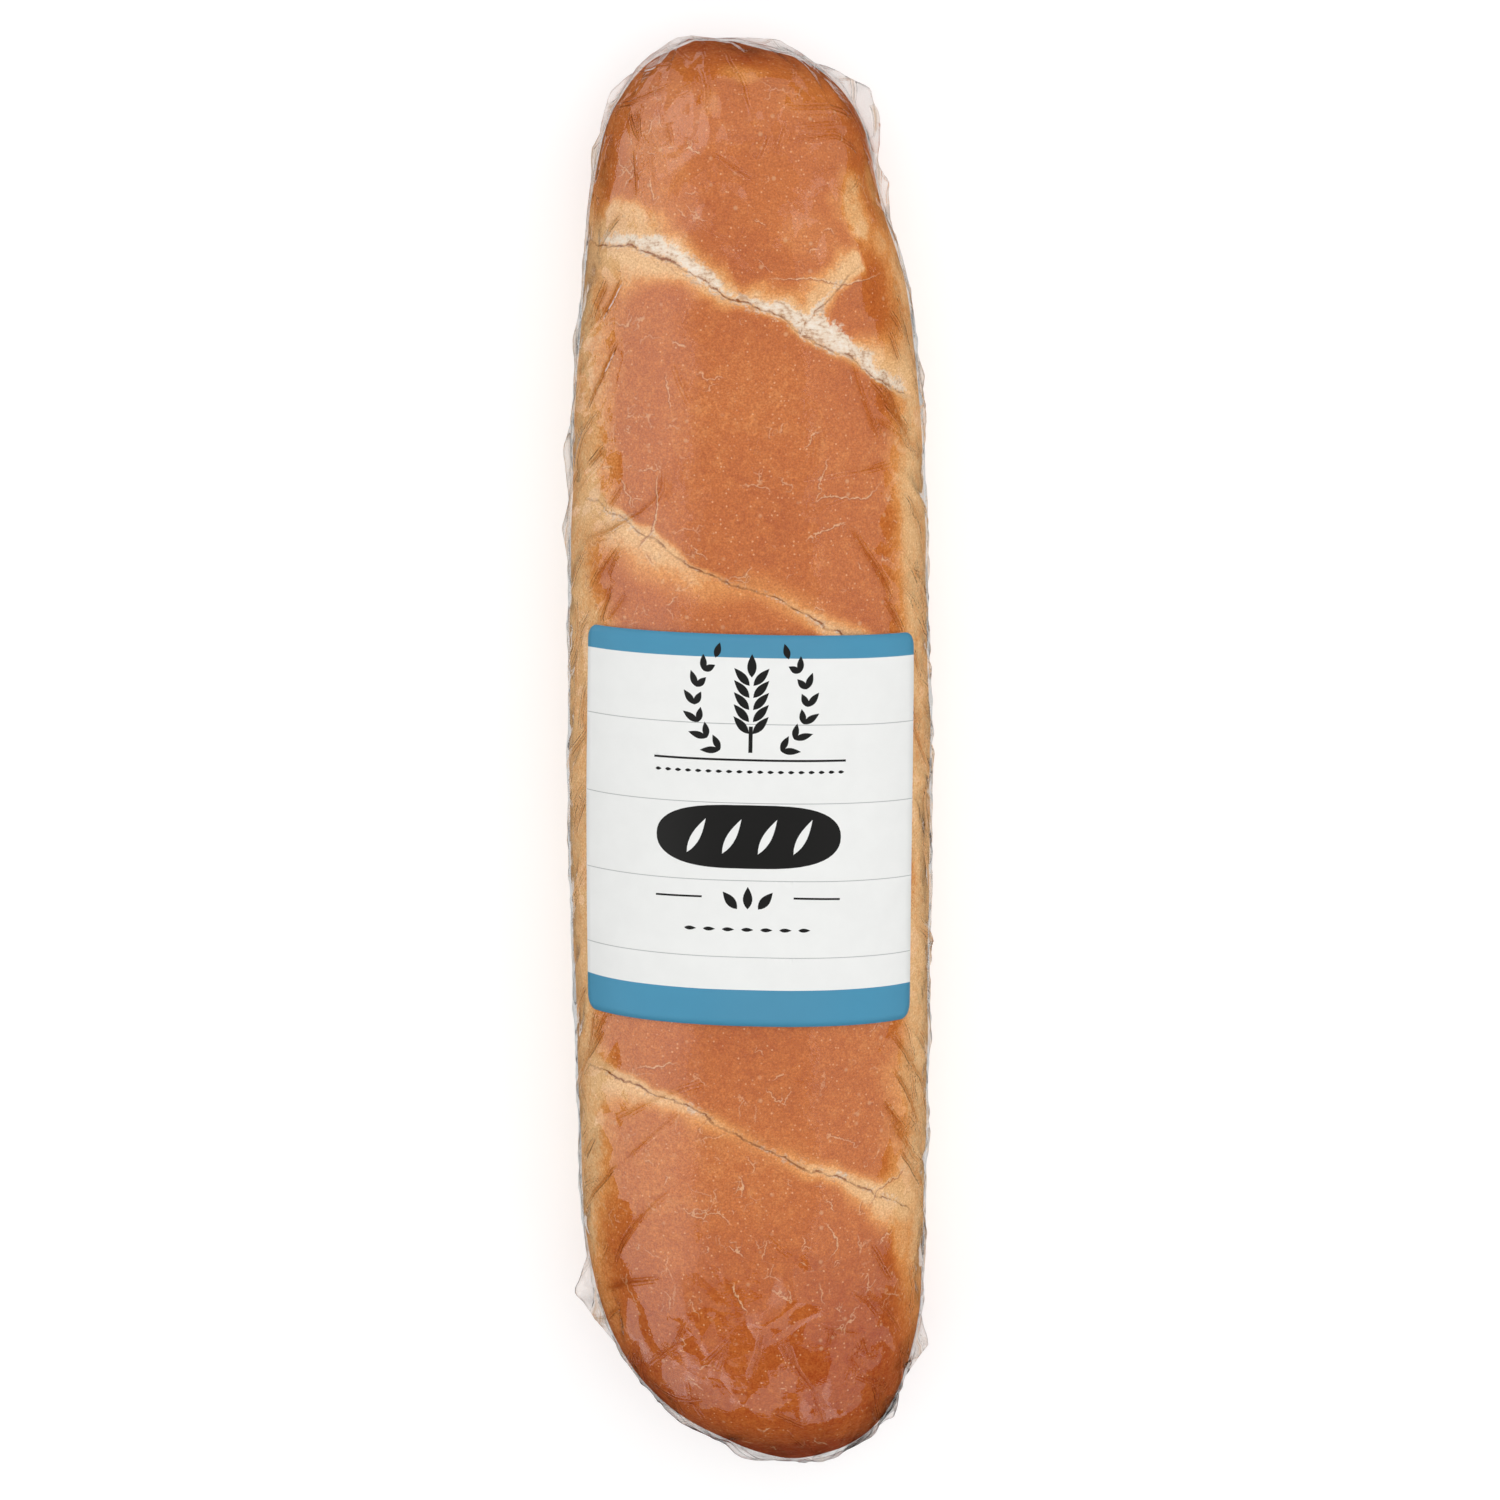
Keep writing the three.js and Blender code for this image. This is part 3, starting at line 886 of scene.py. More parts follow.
def floor_material(stage):
    """Plain pale floor."""
    material, tree, out = new_material("pale_floor")
    mask, _ = grain(tree, object_place(tree), 40.0)
    shade = tuple(stage.floor_colour)
    colour = tint(tree, mask, (*shade, 1), (*(0.99 * c for c in shade), 1))
    inputs = {
        "Base Color": colour,
        "Roughness": 0.8,
        "Emission Color": colour,
        "Emission Strength": stage.floor_glow,
    }
    shader = put(tree, "ShaderNodeBsdfPrincipled", inputs)
    tree.links.new(shader.outputs[0], out.inputs["Surface"])
    return material


# ---------------------------------------------------------------- bread


def add_piece(name, mesh, node, materials):
    """Puts a piece in the scene and ties it to the frame."""
    piece = bpy.data.objects.new(name, mesh)
    bpy.context.scene.collection.objects.link(piece)
    for material in materials:
        mesh.materials.append(material)
    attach(piece, "root")
    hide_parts(node)
    return piece


def make_bread(bread):
    """The loaf, with real slashes and torn crumb."""
    skin = Skin(bread.rings, bread.sides, 0, LOAF_UNDERSIDE)
    rng = np.random.default_rng(bread.seed)
    height, outside, pale, crack, crack_shade_strength = slash_fields(skin)
    flake, flake_rise = thin_lines(skin, flake_lines(skin, rng, bread.flakes), 2.4)
    upper = ease(3, 14, skin.points[..., 2])
    crumbly = 0.3 * noise(skin.points, 3.2, 41) + 0.2 * noise(skin.points, 1.7, 42)
    height = height * bread.slash_depth + crumbly * ease(0.4, -0.4, outside)
    height += 0.1 * flake_rise * ease(-0.8, 0.8, flake)
    height = np.clip(height + lumps(skin.points), -5, 0.42) * upper
    mesh = closed_skin("bread", skin.points + height[..., None] * skin.normals)
    add_field(mesh, "outside", outside)
    add_field(mesh, "crack", crack)
    add_field(mesh, "crack_shade_strength", crack_shade_strength)
    add_field(mesh, "flake", flake)
    add_field(mesh, "flake_rise", flake_rise)
    add_field(mesh, "pale", patchy(skin, pale))
    add_field(mesh, "baked", browning(skin))
    return add_piece("bread", mesh, "loaf", [crust_material(bread)])


# ---------------------------------------------------------------- film


def label_cover(skin, label, margin):
    """1 on the film under the label, 0 a little way outside it."""
    turn = math.radians(label.turn)
    across = skin.across - label.across / MM
    along = skin.along - label.along / MM - SHIFT[1]
    u = across * math.cos(turn) + along * math.sin(turn)
    v = along * math.cos(turn) - across * math.sin(turn)
    past = np.maximum(np.abs(u) - label.width / MM / 2, np.abs(v) - label.length / MM / 2)
    return ease(margin, 0, past)


def facet(height, skin, centre, heading, radius, slope):
    """Adds a V-shaped fold: two flats that meet in a line and die away."""
    ds, dy = skin.across - centre[0], skin.along - centre[1]
    near = (np.abs(ds) < 2.5 * radius) & (np.abs(dy) < 2.5 * radius)
    ds, dy = ds[near], dy[near]
    off = dy * math.cos(heading) - ds * math.sin(heading)
    window = np.exp(-(ds**2 + dy**2) / radius**2)
    height[near] += slope * window * (0.45 * radius - np.abs(off))


def pleated(skin, lean, long_way, short_way, seed):
    """Sharp-crested pleats that run down the flanks, from -1 to 1."""
    slanted = skin.along + lean * np.abs(skin.across)
    flat = np.stack([skin.across / long_way, slanted / short_way, np.zeros_like(slanted)], axis=-1)
    return 1 - 3.2 * np.abs(noise(flat, 1.0, seed))


def end_pleats(skin, rng, pleats):
    """Gathers that run into each end of the bag, as a height that grows towards the tip."""
    height = np.zeros(skin.across.shape)
    for end in (1, -1):
        tip = skin.along[0 if end > 0 else -1, 0]
        back = np.abs(skin.along - tip)
        girth = np.sqrt(np.clip(back, 0.5, 60) / 60)
        for _ in range(pleats):
            angle = rng.uniform(-0.1, np.pi + 0.1)
            reach = rng.uniform(10, 38)
            swing = rng.uniform(-0.3, 0.3)
            off = (skin.angles[None, :] - angle - swing * back / 40) * 42 * girth
            fade = ease(reach, reach * 0.3, back) * ease(0, 3, back)
            height += rng.uniform(0.2, 0.9) * fade * np.exp(-np.abs(off) / rng.uniform(0.7, 1.8))
    return height


def film_creases(skin, rng, count):
    """Courses of the film's creases: those that are always there, and a scatter of small ones."""
    lines = [(rise, skin.unrolled_course(course)) for rise, course in CREASES]
    for side in (-1, 1):
        for along in np.arange(-188, 190, 380 / count):
            start = (side * rng.uniform(38, 66), along + rng.uniform(-4, 4))
            heading = math.radians(rng.normal(90 + side * 36, 12) + rng.choice((0, 180)))
            line = wandering_line(rng, start, heading, rng.uniform(8, 34), 2.0, 0.05)
            lines.append((rng.uniform(0.2, 0.6), line))
    for _ in range(count // 2):
        start = (rng.normal(0, 30), rng.uniform(-196, 196))
        heading = rng.uniform(0, 2 * np.pi)
        line = wandering_line(rng, start, heading, rng.uniform(4, 16), 2.0, 0.1)
        lines.append((rng.uniform(0.05, 0.16), line))
    for _ in range(count):
        end = rng.choice((-1, 1))
        start = (rng.normal(0, 34), end * rng.uniform(150, 197))
        heading = math.radians(end * 90 - math.degrees(math.atan2(start[0], 60)) * end + rng.normal(0, 30))
        line = wandering_line(rng, start, heading, rng.uniform(6, 20), 2.0, 0.08)
        lines.append((rng.uniform(0.15, 0.6), line))
    return lines


def low_creases(seed, count):
    """Courses of small, soft creases on the lower flanks, where the film turns under the loaf."""
    rng = np.random.default_rng(seed)
    lines = []
    for _ in range(count):
        side = rng.choice((-1, 1))
        start = (side * rng.uniform(60, 88), rng.uniform(-185, 185))
        heading = math.radians(rng.normal(90 + side * 50, 18))
        line = wandering_line(rng, start, heading, rng.uniform(6, 22), 2.0, 0.09)
        lines.append((rng.uniform(0.05, 0.2), line))
    return lines


def crease_folds(skin, rng, lines):
    """Lens-shaped folds along the creases: steep on one side, gentle on the other, in mm."""
    height = np.zeros(skin.across.shape)
    for rise, line in lines:
        near, across, share = line_field(skin, line, 8)
        across = across * rng.choice((-1, 1))
        swell = np.sqrt(np.clip(np.minimum(share, 1 - share) * 2.4, 0, 1))
        steep = rng.uniform(1.1, 1.8)
        slack = rng.uniform(3.5, 7)
        foot = np.where(across > 0, steep, slack) * swell + 0.2
        height[near] += rise * swell * np.clip(1 - np.abs(across) / foot, 0, 1)
    return height


def film_folds(skin, rng):
    """The film's own shape over the loaf, in mm: slack, flats, flank pleats and gathered ends."""
    height = 0.24 * noise(skin.points, 24, 51) + 0.1 * noise(skin.points, 10, 52)
    for _ in range(170):
        side = rng.choice((-1, 1))
        centre = (side * rng.uniform(26, 78), rng.uniform(-195, 195))
        slope = rng.uniform(-0.2, 0.2)
        facet(height, skin, centre, rng.uniform(0, np.pi), rng.uniform(4.5, 13), slope)
    for _ in range(150):
        centre = (rng.uniform(-40, 40), rng.choice((-1, 1)) * rng.uniform(138, 198))
        slope = rng.uniform(-0.25, 0.25)
        facet(height, skin, centre, rng.uniform(0, np.pi), rng.uniform(4, 11), slope)
    flank = ease(30, 52, np.abs(skin.across))
    height += 0.55 * flank * pleated(skin, 0.7, 24, 8, 53)
    height += 0.22 * flank * pleated(skin, -0.2, 12, 4.5, 54)
    right = ease(44, 54, skin.across) * ease(175, 150, np.abs(skin.along))
    height += 0.34 * right * pleated(skin, 1.0, 30, 3.6, 55)
    return height + end_pleats(skin, rng, 26)


def belt_run(points):
    """Distance along one edge of the outline, ring by ring."""
    strides = np.linalg.norm(np.diff(points, axis=0), axis=1)
    return np.concatenate([[0], np.cumsum(strides)])


def pull_ears(skin):
    """Sideways and up-and-down moves that pull the film out into dog-ears and a crinkled rim."""
    moves = np.zeros(skin.points.shape)
    for side in (1, -1):
        belt = int(np.argmin(np.abs(skin.angles - (0 if side > 0 else np.pi))))
        edge, outward = skin.points[:, belt], skin.normals[:, belt] * (1, 1, 0)
        outward /= np.linalg.norm(outward, axis=1, keepdims=True)
        run = belt_run(edge)
        flat = np.zeros((len(run), 3))
        flat[:, 0] = run
        reach = 0.5 * np.maximum(0, noise(flat + side, 9, 56))
        reach += 0.5 * np.maximum(0, noise(flat, 3.4, 57 + side))
        for y, ear_side, size, ahead, behind in EARS:
            if ear_side != side:
                continue
            middle = np.interp(-(y + SHIFT[1]), -edge[:, 1], run)
            away = np.where(run < middle, (middle - run) / ahead, (run - middle) / behind)
            ear = size * np.clip(1 - away, 0, 1) ** 1.1
            reach = np.maximum(reach, ear * (1 + 0.16 * noise(flat, 4, 58)))
        width = 3.2 + 0.75 * reach[:, None]
        level = skin.points[..., 2] - LOAF_BASE - BELT_HEIGHT
        thin = np.clip(1 - np.abs(level) / width, 0, 1) ** 1.5
        thin = thin * (side * np.cos(skin.angles) > 0)
        moves += (reach[:, None] * thin)[..., None] * outward[:, None, :]
        ripple = 1 - 3 * np.abs(noise(flat, 3.4, 59)) + noise(flat, 6, 60)
        moves[..., 2] += (ripple * np.minimum(reach, 5) * 0.24)[:, None] * thin
    return moves


def make_film(film, label):
    """The shrink film: one clear skin drawn round the loaf."""
    skin = Skin(film.rings, film.sides, FILM_OFFSET, FILM_UNDERSIDE)
    rng = np.random.default_rng(film.seed)
    free = 1 - label_cover(skin, label, 2.5)
    lines = film_creases(skin, rng, film.creases) + low_creases(film.seed + 1, film.creases * 2)
    crease, crease_rise = thin_lines(skin, [(min(1, 2.2 * rise), line) for rise, line in lines], 2.6)
    height = film_folds(skin, rng) + crease_folds(skin, rng, lines)
    height = np.maximum(height * film.fold_height * free, -0.16)
    rim = np.exp(-(((skin.points[..., 2] - LOAF_BASE - BELT_HEIGHT) / 9) ** 2))
    height = (height * (1 - 0.7 * rim) + lumps(skin.points)) * ease(0.5, 9, skin.points[..., 2])
    points = skin.points + height[..., None] * skin.normals + pull_ears(skin)
    points[..., 2] = np.maximum(points[..., 2], 0.06)
    mesh = closed_skin("shrink_film", points)
    add_field(mesh, "crease", crease)
    flank = ease(24, 48, np.abs(skin.across))
    add_field(mesh, "crease_rise", crease_rise * free * (0.5 + 0.8 * flank))
    ends = ease(130, 165, np.abs(skin.along))
    add_field(mesh, "loose", free * np.clip(0.2 + 0.8 * flank + 0.6 * ends, 0, 1))
    return add_piece("shrink_film", mesh, "wrap_film", [film_material(film)])


# ---------------------------------------------------------------- label


def arc(centre, radius, start, end, steps):
    """Points on a circle's arc, angles in degrees."""
    angles = np.radians(np.linspace(start, end, steps))
    return [(centre[0] + radius * math.cos(a), centre[1] + radius * math.sin(a)) for a in angles]


def rounded_outline(width, length, corner):
    """A rectangle with round corners, anticlockwise."""
    x, y = width / 2 - corner, length / 2 - corner
    out = arc((x, y), corner, 0, 90, 7) + arc((-x, y), corner, 90, 180, 7)
    return out + arc((-x, -y), corner, 180, 270, 7) + arc((x, -y), corner, 270, 360, 7)


def seed_outline(base, heading, length, width):
    """A grain of wheat: a lens with one end at its base, pointing along its heading in degrees."""
    turn = math.radians(heading)
    along, side = (math.cos(turn), math.sin(turn)), (-math.sin(turn), math.cos(turn))
    shares = np.linspace(0, 1, 9)
    bulge = width / 2 * np.sin(np.pi * shares**0.85)
    rim = [*zip(shares, bulge), *zip(shares[-2:0:-1], -bulge[-2:0:-1])]
    return [
        (base[0] + s * length * along[0] + b * side[0], base[1] + s * length * along[1] + b * side[1])
        for s, b in rim
    ]


def bar_outline(start, end, width):
    """A straight bar of ink with square ends."""
    run = Vector((end[0] - start[0], end[1] - start[1])).normalized() * width / 2
    side = (-run.y, run.x)
    return [
        (start[0] - side[0], start[1] - side[1]),
        (end[0] - side[0], end[1] - side[1]),
        (end[0] + side[0], end[1] + side[1]),
        (start[0] + side[0], start[1] + side[1]),
    ]


def divided(outline, step):
    """An outline with extra points, so that no edge is longer than a step."""
    out = []
    for start, end in zip(outline, outline[1:] + outline[:1]):
        pieces = max(1, math.ceil(math.dist(start, end) / step))
        for k in range(pieces):
            t = k / pieces
            out.append((start[0] + t * (end[0] - start[0]), start[1] + t * (end[1] - start[1])))
    return out


def wheat_ear(foot, height):
    """Ink outlines of an ear of wheat that stands on its foot."""
    x, y = foot
    shapes = [bar_outline((x, y), (x, y + height * 0.28), 1.1)]
    for step in range(5):
        level = y + height * (0.2 + 0.128 * step)
        for side in (1, -1):
            base = (x + side * 0.5, level)
            shapes.append(seed_outline(base, 90 - side * 42, height * 0.25, height * 0.088))
    shapes.append(seed_outline((x, y + height * 0.8), 90, height * 0.25, height * 0.1))
    return shapes


def wreath(centre, radius):
    """Ink outlines of leaves in a ring that is open at the top, where each side ends in one leaf."""
    x, y = centre
    shapes = []
    for side in (1, -1):
        for step in range(7):
            place = math.radians(-58 + 18 * step)
            heading = math.degrees(place) + 90
            for tilt, length in ((-34, 5.6), (30, 4.6)):
                base = (x + side * radius * math.cos(place), y + radius * math.sin(place))
                leaf = seed_outline((0, 0), heading + tilt, length - 0.2 * step, 1.9)
                shapes.append([(base[0] + side * px, base[1] + py) for px, py in leaf])
        shapes.pop()
    return shapes


def loaf_sign(centre, width, height):
    """Ink outline of a small loaf, and the paper-coloured slashes across it."""
    x, y = centre
    body = []
    for angle in np.linspace(0, 2 * np.pi, 48, endpoint=False):
        c, s = math.cos(angle), math.sin(angle)
        px = width / 2 * math.copysign(abs(c) ** 0.62, c)
        py = height / 2 * math.copysign(abs(s) ** 0.9, s)
        body.append((x + px, y + py))
    cuts = []
    for step in range(4):
        foot = (x + width * (-0.33 + 0.19 * step), y - height * 0.27)
        cuts.append(seed_outline(foot, 62, height * 0.62, height * 0.14))
    return body, cuts


def inside(points, outline):
    """Which points lie inside a closed outline."""
    x, y = points[:, 0], points[:, 1]
    found = np.zeros(len(points), bool)
    for (x0, y0), (x1, y1) in zip(outline, outline[1:] + outline[:1]):
        if y0 == y1:
            continue
        crosses = (y0 > y) != (y1 > y)
        found ^= crosses & (x < (x1 - x0) * (y - y0) / (y1 - y0) + x0)
    return found


def label_pattern(label):
    """The flat label as points and triangles, with 0 for paper, 1 for band, 2 for ink, 3 for line.

    Places are in mm from the label's middle."""
    width, length = label.width / MM, label.length / MM
    outline = rounded_outline(width, length, label.corner / MM)
    top = length / 2 - label.top_band / MM
    foot = -length / 2 + label.foot_band / MM
    ink = wheat_ear((0, 21.5), 25.5) + wreath((0, 35.2), 15.4)
    ink.append(bar_outline((-26.5, 19.6), (26.5, 19.4), 0.6))
    for step in range(-9, 10):
        ink.append(seed_outline((step * 2.8 - 0.9, 16.3), 0, 1.8, 0.9))
    ink.append(bar_outline((-25.5, -18.4), (-12.5, -18.2), 0.55))
    ink.append(bar_outline((12.5, -18.2), (25.5, -18.5), 0.55))
    body, cuts = loaf_sign((0, -1.5), 51, 17.5)
    ink.append(body)
    for turn in (-40, 0, 40):
        ink.append(seed_outline((math.sin(math.radians(turn)) * 4.4, -21.4), 90 - turn, 6.2, 2.6))
    for step in range(-3, 4):
        ink.append(seed_outline((step * 5.2 - 1.7, -27.0), 0, 3.4, 1.1))
    planks = [29.4, 7.9, -13.4, -34.4]
    lines = [bar_outline((-width / 2 + 0.2, v), (width / 2 - 0.2, v - 0.3), 0.22) for v in planks]
    points, edges = [], []
    for shape in [outline, *ink, *cuts, *lines]:
        shape = divided(shape, 2.0)
        first = len(points)
        points += shape
        edges += [(first + i, first + (i + 1) % len(shape)) for i in range(len(shape))]
    for level in (top, foot):
        row = [(x, level) for x in np.linspace(-width / 2, width / 2, 52)]
        edges += [(len(points) + i, len(points) + i + 1) for i in range(len(row) - 1)]
        points += row
    grid = np.mgrid[-width / 2 + 2 : width / 2 - 1 : 2.1, -length / 2 + 2 : length / 2 - 1 : 2.1]
    points += [tuple(p) for p in grid.reshape(2, -1).T]
    flat, _, faces, *_ = delaunay_2d_cdt([Vector(p) for p in points], edges, [], 0, 1e-5)
    flat = np.array([tuple(p) for p in flat])
    faces = np.array([tuple(f) for f in faces])
    middles = flat[faces].mean(axis=1)
    kind = np.where((middles[:, 1] > top) | (middles[:, 1] < foot), 1, 0)
    for shapes, value in ((lines, 3), (ink, 2), (cuts, 0)):
        for shape in shapes:
            kind[inside(middles, shape)] = value
    kept = inside(middles, outline)
    return flat, faces[kept], kind[kept]


def make_label(label):
    """The paper label, wrapped over the film on the dome."""
    flat, faces, kind = label_pattern(label)
    turn = math.radians(label.turn)
    across = flat[:, 0] * math.cos(turn) - flat[:, 1] * math.sin(turn) + label.across / MM
    along = flat[:, 0] * math.sin(turn) + flat[:, 1] * math.cos(turn) + label.along / MM + SHIFT[1]
    top, base = (
        Skin(label.rings, label.sides, FILM_OFFSET + lift, FILM_UNDERSIDE).placed(across, along)
        for lift in LABEL_LIFTS
    )
    out = top - base
    out /= np.linalg.norm(out, axis=1, keepdims=True)
    wave = 0.14 + 0.14 * noise(np.column_stack([flat, flat[:, :1] * 0]), 19, 61)
    swell = (lumps(base) + wave)[:, None]
    count = len(flat)
    walls = []
    for a, b in boundary_edges(faces):
        walls += [(a, a + count, b + count), (a, b + count, b)]
    triangles = np.vstack([faces, faces[:, ::-1] + count, np.array(walls)])
    points = np.vstack([top + out * swell, base + out * swell])
    mesh = mesh_from("paper_label", points, np.empty((0, 4), int), triangles)
    kinds = np.concatenate([kind, np.zeros(len(faces) + len(walls), int)])
    mesh.polygons.foreach_set("material_index", kinds.astype(np.int32))
    smooth = np.concatenate([np.ones(2 * len(faces), bool), np.zeros(len(walls), bool)])
    mesh.polygons.foreach_set("use_smooth", smooth)
    materials = [
        print_material("label_paper", tuple(label.paper_colour), 0.42),
        print_material("label_band", tuple(label.band_colour), 0.36),
        print_material("label_ink", tuple(label.ink_colour), 0.4),
        print_material("label_line", tuple(label.line_colour), 0.42),
    ]
    return add_piece("paper_label", mesh, "label", materials)


def boundary_edges(faces):
    """Directed edges that only one triangle uses."""
    ways = np.vstack([faces[:, [0, 1]], faces[:, [1, 2]], faces[:, [2, 0]]])
    used = {tuple(way) for way in ways.tolist()}
    return [way for way in used if (way[1], way[0]) not in used]


# ---------------------------------------------------------------- stage


def add_panel(name, place, aim, size, radiance):
    """A soft light panel that faces its aim, as bright as a sheet of the given radiance."""
    light = bpy.data.lights.new(name, "AREA")
    light.shape = "RECTANGLE"
    light.size, light.size_y = size
    light.energy = radiance * math.pi * size[0] * size[1]
    lamp = bpy.data.objects.new(name, light)
    lamp.location = place
    lamp.rotation_euler = (Vector(aim) - Vector(place)).to_track_quat("-Z", "Y").to_euler()
    lamp.visible_camera = False
    bpy.context.scene.collection.objects.link(lamp)
    return lamp


def add_tent_side(name, heading, low, high, width, radiance):
    """A leaning panel on one side of the tent, from a low to a high elevation, all in degrees."""
    away = Vector((math.cos(math.radians(heading)), math.sin(math.radians(heading)), 0))
    foot = away * TENT_REACH * 1.3 + Vector((0, 0, TENT_REACH * 1.3 * math.tan(math.radians(low))))
    head = away * TENT_TOP / math.tan(math.radians(high)) + Vector((0, 0, TENT_TOP))
    middle = (foot + head) / 2
    inward = (head - foot).cross(away.cross(Vector((0, 0, 1))))
    if inward.dot(away) > 0:
        inward = -inward
    return add_panel(name, middle, middle + inward, (width, (head - foot).length), radiance)


def show_in_mirrors_only(lamp):
    """Lets a lamp show in the film's gloss without lighting the bread."""
    lamp.visible_diffuse = False


def make_world(stage):
    """Dim even light from all round."""
    world = bpy.data.worlds.new("studio_air")
    world.use_nodes = True
    background = world.node_tree.nodes["Background"]
    background.inputs["Color"].default_value = (1, 1, 1, 1)
    background.inputs["Strength"].default_value = stage.air
    bpy.context.scene.world = world
    world.cycles_visibility.glossy = False


def make_floor(stage):
    """A wide pale floor that mirrors in the film leave out, as on a light table."""
    mesh = bpy.data.meshes.new("floor")
    reach = 4.0
    corners = [(-reach, -reach, 0), (reach, -reach, 0), (reach, reach, 0), (-reach, reach, 0)]
    mesh.from_pydata(corners, [], [(0, 1, 2, 3)])
    mesh.materials.append(floor_material(stage))
    floor = bpy.data.objects.new("floor", mesh)
    bpy.context.scene.collection.objects.link(floor)
    floor.visible_glossy = False


def make_camera(stage):
    """Looks down on the loaf, a little from its narrow end."""
    camera = bpy.data.cameras.new("camera")
    camera.lens = stage.lens
    camera.sensor_width = 36
    camera.clip_end = 20
    lean = math.radians(stage.lean)
    aim = Vector((SHIFT[0], SHIFT[1] + AIM_AHEAD, AIM_HEIGHT)) * MM
    holder = bpy.data.objects.new("camera", camera)
    holder.location = aim + stage.distance * Vector((0, math.sin(lean), math.cos(lean)))
    holder.rotation_euler = (-lean, 0, 0)
    bpy.context.scene.collection.objects.link(holder)
    bpy.context.scene.camera = holder


def make_stage(stage):
    """Floor, panels, world and camera. The film mirrors the panels as a pale veil, which ends where
    they end."""
    make_world(stage)
    make_floor(stage)
    make_camera(stage)
    power = stage.power
    add_panel("top_panel", (0, 0.03, TENT_TOP + 0.02), (0, 0, 0), (1.3, 1.24), 0.38 * power)
    add_tent_side("left_panel", 180, 2, 64, 2.6, 0.52 * power)
    # Overlapping glows soften the veil's border on the left.
    for high in (52, 56, 60, 64, 68, 72):
        show_in_mirrors_only(add_tent_side(f"left_glow_{high}", 180, 2, high, 2.6, 0.08 * power))
    add_tent_side("right_panel", 0, 2, 64, 2.6, 0.5 * power)
    add_tent_side("far_panel", 90, 2, 64, 2.2, 0.5 * power)
    add_tent_side("near_panel", -90, 27, 51, 2.2, 0.65 * power)
    for heading in (-132, -48):
        add_tent_side(f"near_corner_{-heading}", heading, 51, 63, 0.9, 0.3 * power)
    # The left shoulder and the rim turn away far enough to mirror what lies below the tent.
    shoulder = add_panel("left_shoulder", (-1.0, 0.68, -0.33), (0, 0.05, 0), (1.5, 0.68), 0.85 * power)
    show_in_mirrors_only(shoulder)
    table = add_panel("table_glow", (0, 0, -0.6), (0, 0, 0), (0.5, 0.8), 0.6 * power)
    show_in_mirrors_only(table)
    for heading in (0, 180):
        for low in (-46, -30, -14):
            name = f"low_strip_{heading}_{-low}"
            show_in_mirrors_only(add_tent_side(name, heading, low, low + 5, 2.6, 1.5 * power))
    key = add_panel("key_panel", (0.2, 0.1, 1.5), (0, 0, 0), (1.6, 1.6), 1.05 * stage.key * power)
    key.visible_glossy = False
    bpy.context.scene.view_settings.view_transform = "Standard"
    bpy.context.scene.view_settings.look = "None"


# ---------------------------------------------------------------- settings


def colour_setting(name, description, default):
    """A colour that the user may change."""
    return bpy.props.FloatVectorProperty(
        name=name, description=description, default=default, subtype="COLOR", size=3, min=0.0, max=1.0
    )


def length_setting(name, description, default):
    """A length that the user may change; the default is in mm."""
    return bpy.props.FloatProperty(
        name=name, description=description, default=default * MM, unit="LENGTH", subtype="DISTANCE"
    )


def number_setting(name, description, default, least=0.0, most=1000.0):
    """A plain number that the user may change."""
    return bpy.props.FloatProperty(name=name, description=description, default=default, min=least, max=most)


def count_setting(name, description, default, least=0):
    """A whole number that the user may change."""
    return bpy.props.IntProperty(name=name, description=description, default=default, min=least)


class BreadSettings(bpy.types.PropertyGroup):
    rings: count_setting("Rings", "Steps along the loaf", 414, 40)
    sides: count_setting("Sides", "Steps round the loaf", 232, 24)
    seed: count_setting("Seed", "Picks another set of flakes", 3)
    flakes: count_setting("Flakes", "How many fine cracks the crust has", 420)
    slash_depth: number_setting("Slash depth", "Depth of the slashes, as a share of usual", 1.0, 0.0, 2.0)
    young_colour: colour_setting("Young crust", "Barely baked crust beside a slash", (0.9, 0.56, 0.27))
    golden_colour: colour_setting("Golden crust", "Lightly baked crust on the flanks", (0.8, 0.325, 0.085))
    crust_colour: colour_setting("Crust", "Well baked crust on top", (0.61, 0.168, 0.029))
    dark_colour: colour_setting("Dark crust", "Darkest crust, at the ends", (0.4, 0.06, 0.007))
    crumb_colour: colour_setting("Crumb", "Torn crumb in the slashes", (0.86, 0.7, 0.54))
    flour_colour: colour_setting("Light crumb", "Lightest crumb", (0.95, 0.87, 0.77))


class FilmSettings(bpy.types.PropertyGroup):
    rings: count_setting("Rings", "Steps along the film", 420, 40)
    sides: count_setting("Sides", "Steps round the film", 232, 24)
    fold_height: number_setting("Fold height", "Height of folds, as a share of usual", 1.0, 0.0, 3.0)
    creases: count_setting("Creases", "How many creases of each sort", 60, 1)
    seed: count_setting("Seed", "Picks another set of creases", 7)
    mirror: number_setting("Mirror", "Share of light mirrored head on", 0.085, 0.0, 0.5)


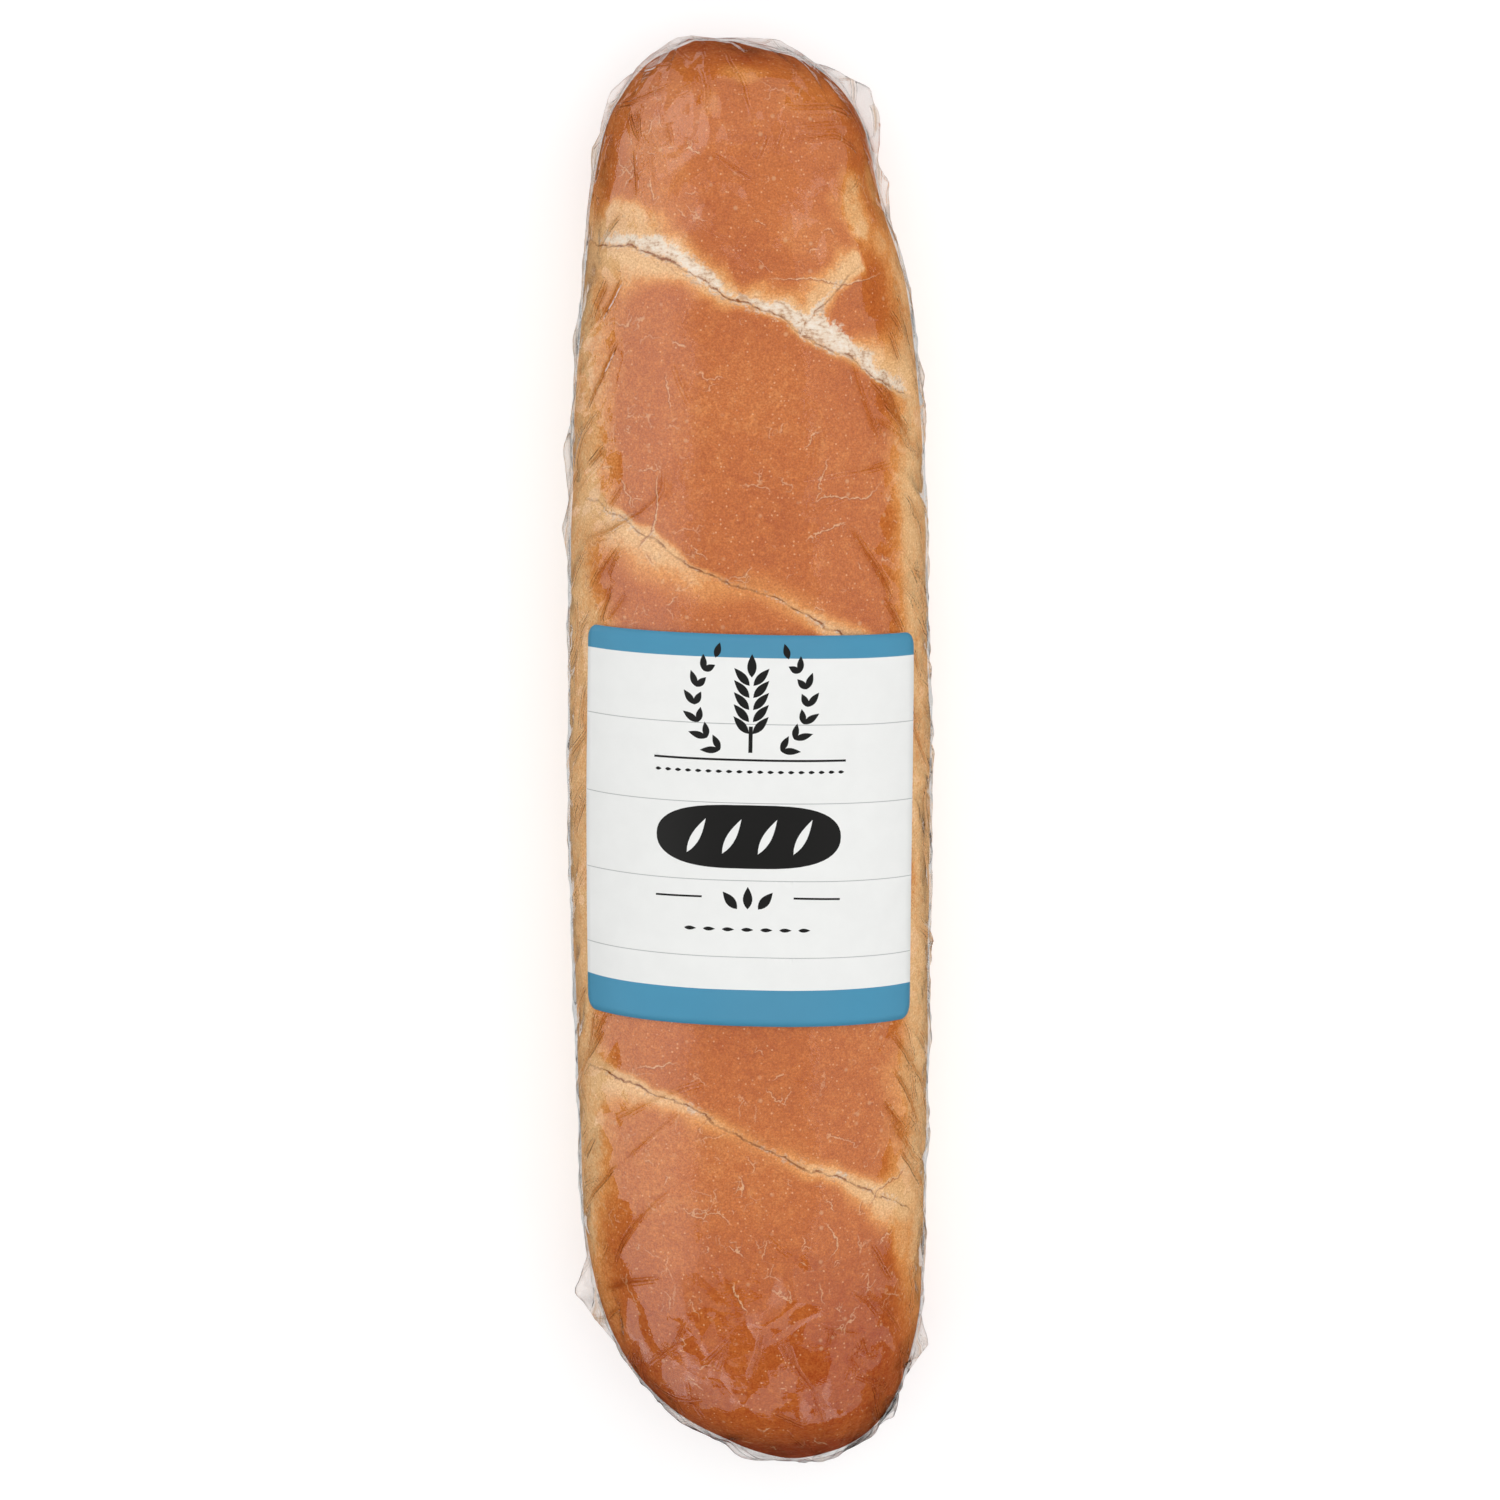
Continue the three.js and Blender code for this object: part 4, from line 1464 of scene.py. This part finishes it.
class LabelSettings(bpy.types.PropertyGroup):
    rings: count_setting("Rings", "Steps along the loaf that the label is laid on", 320, 40)
    sides: count_setting("Sides", "Steps round the loaf that the label is laid on", 240, 24)
    width: length_setting("Width", "Width laid flat", 101.6)
    length: length_setting("Length", "Length laid flat", 107)
    corner: length_setting("Corner", "Corner radius", 4)
    along: length_setting("Along", "Place of its middle along the loaf", -13.3)
    across: length_setting("Across", "Place of its middle across the crown", -0.35)
    turn: number_setting("Turn", "How far it is stuck on askew, in degrees", -1.35, -90.0, 90.0)
    top_band: length_setting("Top band", "Height of the top band", 6.3)
    foot_band: length_setting("Foot band", "Height of the foot band", 10)
    paper_colour: colour_setting("Paper", "Bare paper", (0.83, 0.835, 0.82))
    band_colour: colour_setting("Band", "Printed bands", (0.065, 0.28, 0.44))
    ink_colour: colour_setting("Ink", "Dark ink", (0.008, 0.0075, 0.007))
    line_colour: colour_setting("Line", "Fine lines", (0.42, 0.43, 0.43))


class StageSettings(bpy.types.PropertyGroup):
    floor_colour: colour_setting("Floor", "Colour of the floor", (0.55, 0.55, 0.55))
    floor_glow: number_setting("Floor glow", "How much the floor shines, like a light table", 0.95)
    power: number_setting("Power", "Brightness of the panels", 1.0)
    key: number_setting("Key", "Brightness of the overhead key panel", 1.4)
    air: number_setting("Air", "Brightness of the light from all round", 0.18)
    lens: number_setting("Lens", "Focal length in mm", 100.0, 10.0)
    distance: length_setting("Distance", "Camera to loaf", 1158)
    lean: number_setting("Lean", "How far the camera leans from straight down, in degrees", 7.5, 0.0, 90.0)


class WRAPPED_LOAF_OT_bread(bpy.types.Operator):
    """Make the slashed loaf"""

    bl_idname = "wrapped_loaf.bread"
    bl_label = "Bake Loaf"

    def execute(self, context):
        make_bread(context.scene.loaf_bread)
        return {"FINISHED"}


class WRAPPED_LOAF_OT_film(bpy.types.Operator):
    """Make the clear film round the loaf"""

    bl_idname = "wrapped_loaf.film"
    bl_label = "Shrink Film"

    def execute(self, context):
        make_film(context.scene.loaf_film, context.scene.loaf_label)
        return {"FINISHED"}


class WRAPPED_LOAF_OT_label(bpy.types.Operator):
    """Make the paper label on the film"""

    bl_idname = "wrapped_loaf.label"
    bl_label = "Stick Label"

    def execute(self, context):
        make_label(context.scene.loaf_label)
        return {"FINISHED"}


class WRAPPED_LOAF_OT_stage(bpy.types.Operator):
    """Make the floor, lights and camera"""

    bl_idname = "wrapped_loaf.stage"
    bl_label = "Set Stage"

    def execute(self, context):
        make_stage(context.scene.loaf_stage)
        return {"FINISHED"}


class WRAPPED_LOAF_PT_panel(bpy.types.Panel):
    """Lists the pieces of the wrapped loaf"""

    bl_label = "Wrapped Loaf"
    bl_space_type = "VIEW_3D"
    bl_region_type = "UI"
    bl_category = "Wrapped Loaf"

    def draw(self, context):
        for name, operator in STEPS:
            box = self.layout.box()
            box.operator(operator)
            settings = getattr(context.scene, name)
            for key in settings.__annotations__:
                box.prop(settings, key)


STEPS = [
    ("loaf_bread", "wrapped_loaf.bread"),
    ("loaf_film", "wrapped_loaf.film"),
    ("loaf_label", "wrapped_loaf.label"),
    ("loaf_stage", "wrapped_loaf.stage"),
]
SETTINGS = {
    "loaf_bread": BreadSettings,
    "loaf_film": FilmSettings,
    "loaf_label": LabelSettings,
    "loaf_stage": StageSettings,
}
CLASSES = [
    *SETTINGS.values(),
    WRAPPED_LOAF_OT_bread,
    WRAPPED_LOAF_OT_film,
    WRAPPED_LOAF_OT_label,
    WRAPPED_LOAF_OT_stage,
    WRAPPED_LOAF_PT_panel,
]


def register():
    for cls in CLASSES:
        bpy.utils.register_class(cls)
    for name, cls in SETTINGS.items():
        setattr(bpy.types.Scene, name, bpy.props.PointerProperty(type=cls))


def unregister():
    for name in SETTINGS:
        delattr(bpy.types.Scene, name)
    for cls in reversed(CLASSES):
        bpy.utils.unregister_class(cls)


def main():
    register()
    bpy.ops.wrapped_loaf.bread()
    bpy.ops.wrapped_loaf.film()
    bpy.ops.wrapped_loaf.label()
    bpy.ops.wrapped_loaf.stage()


if __name__ == "__main__":
    main()
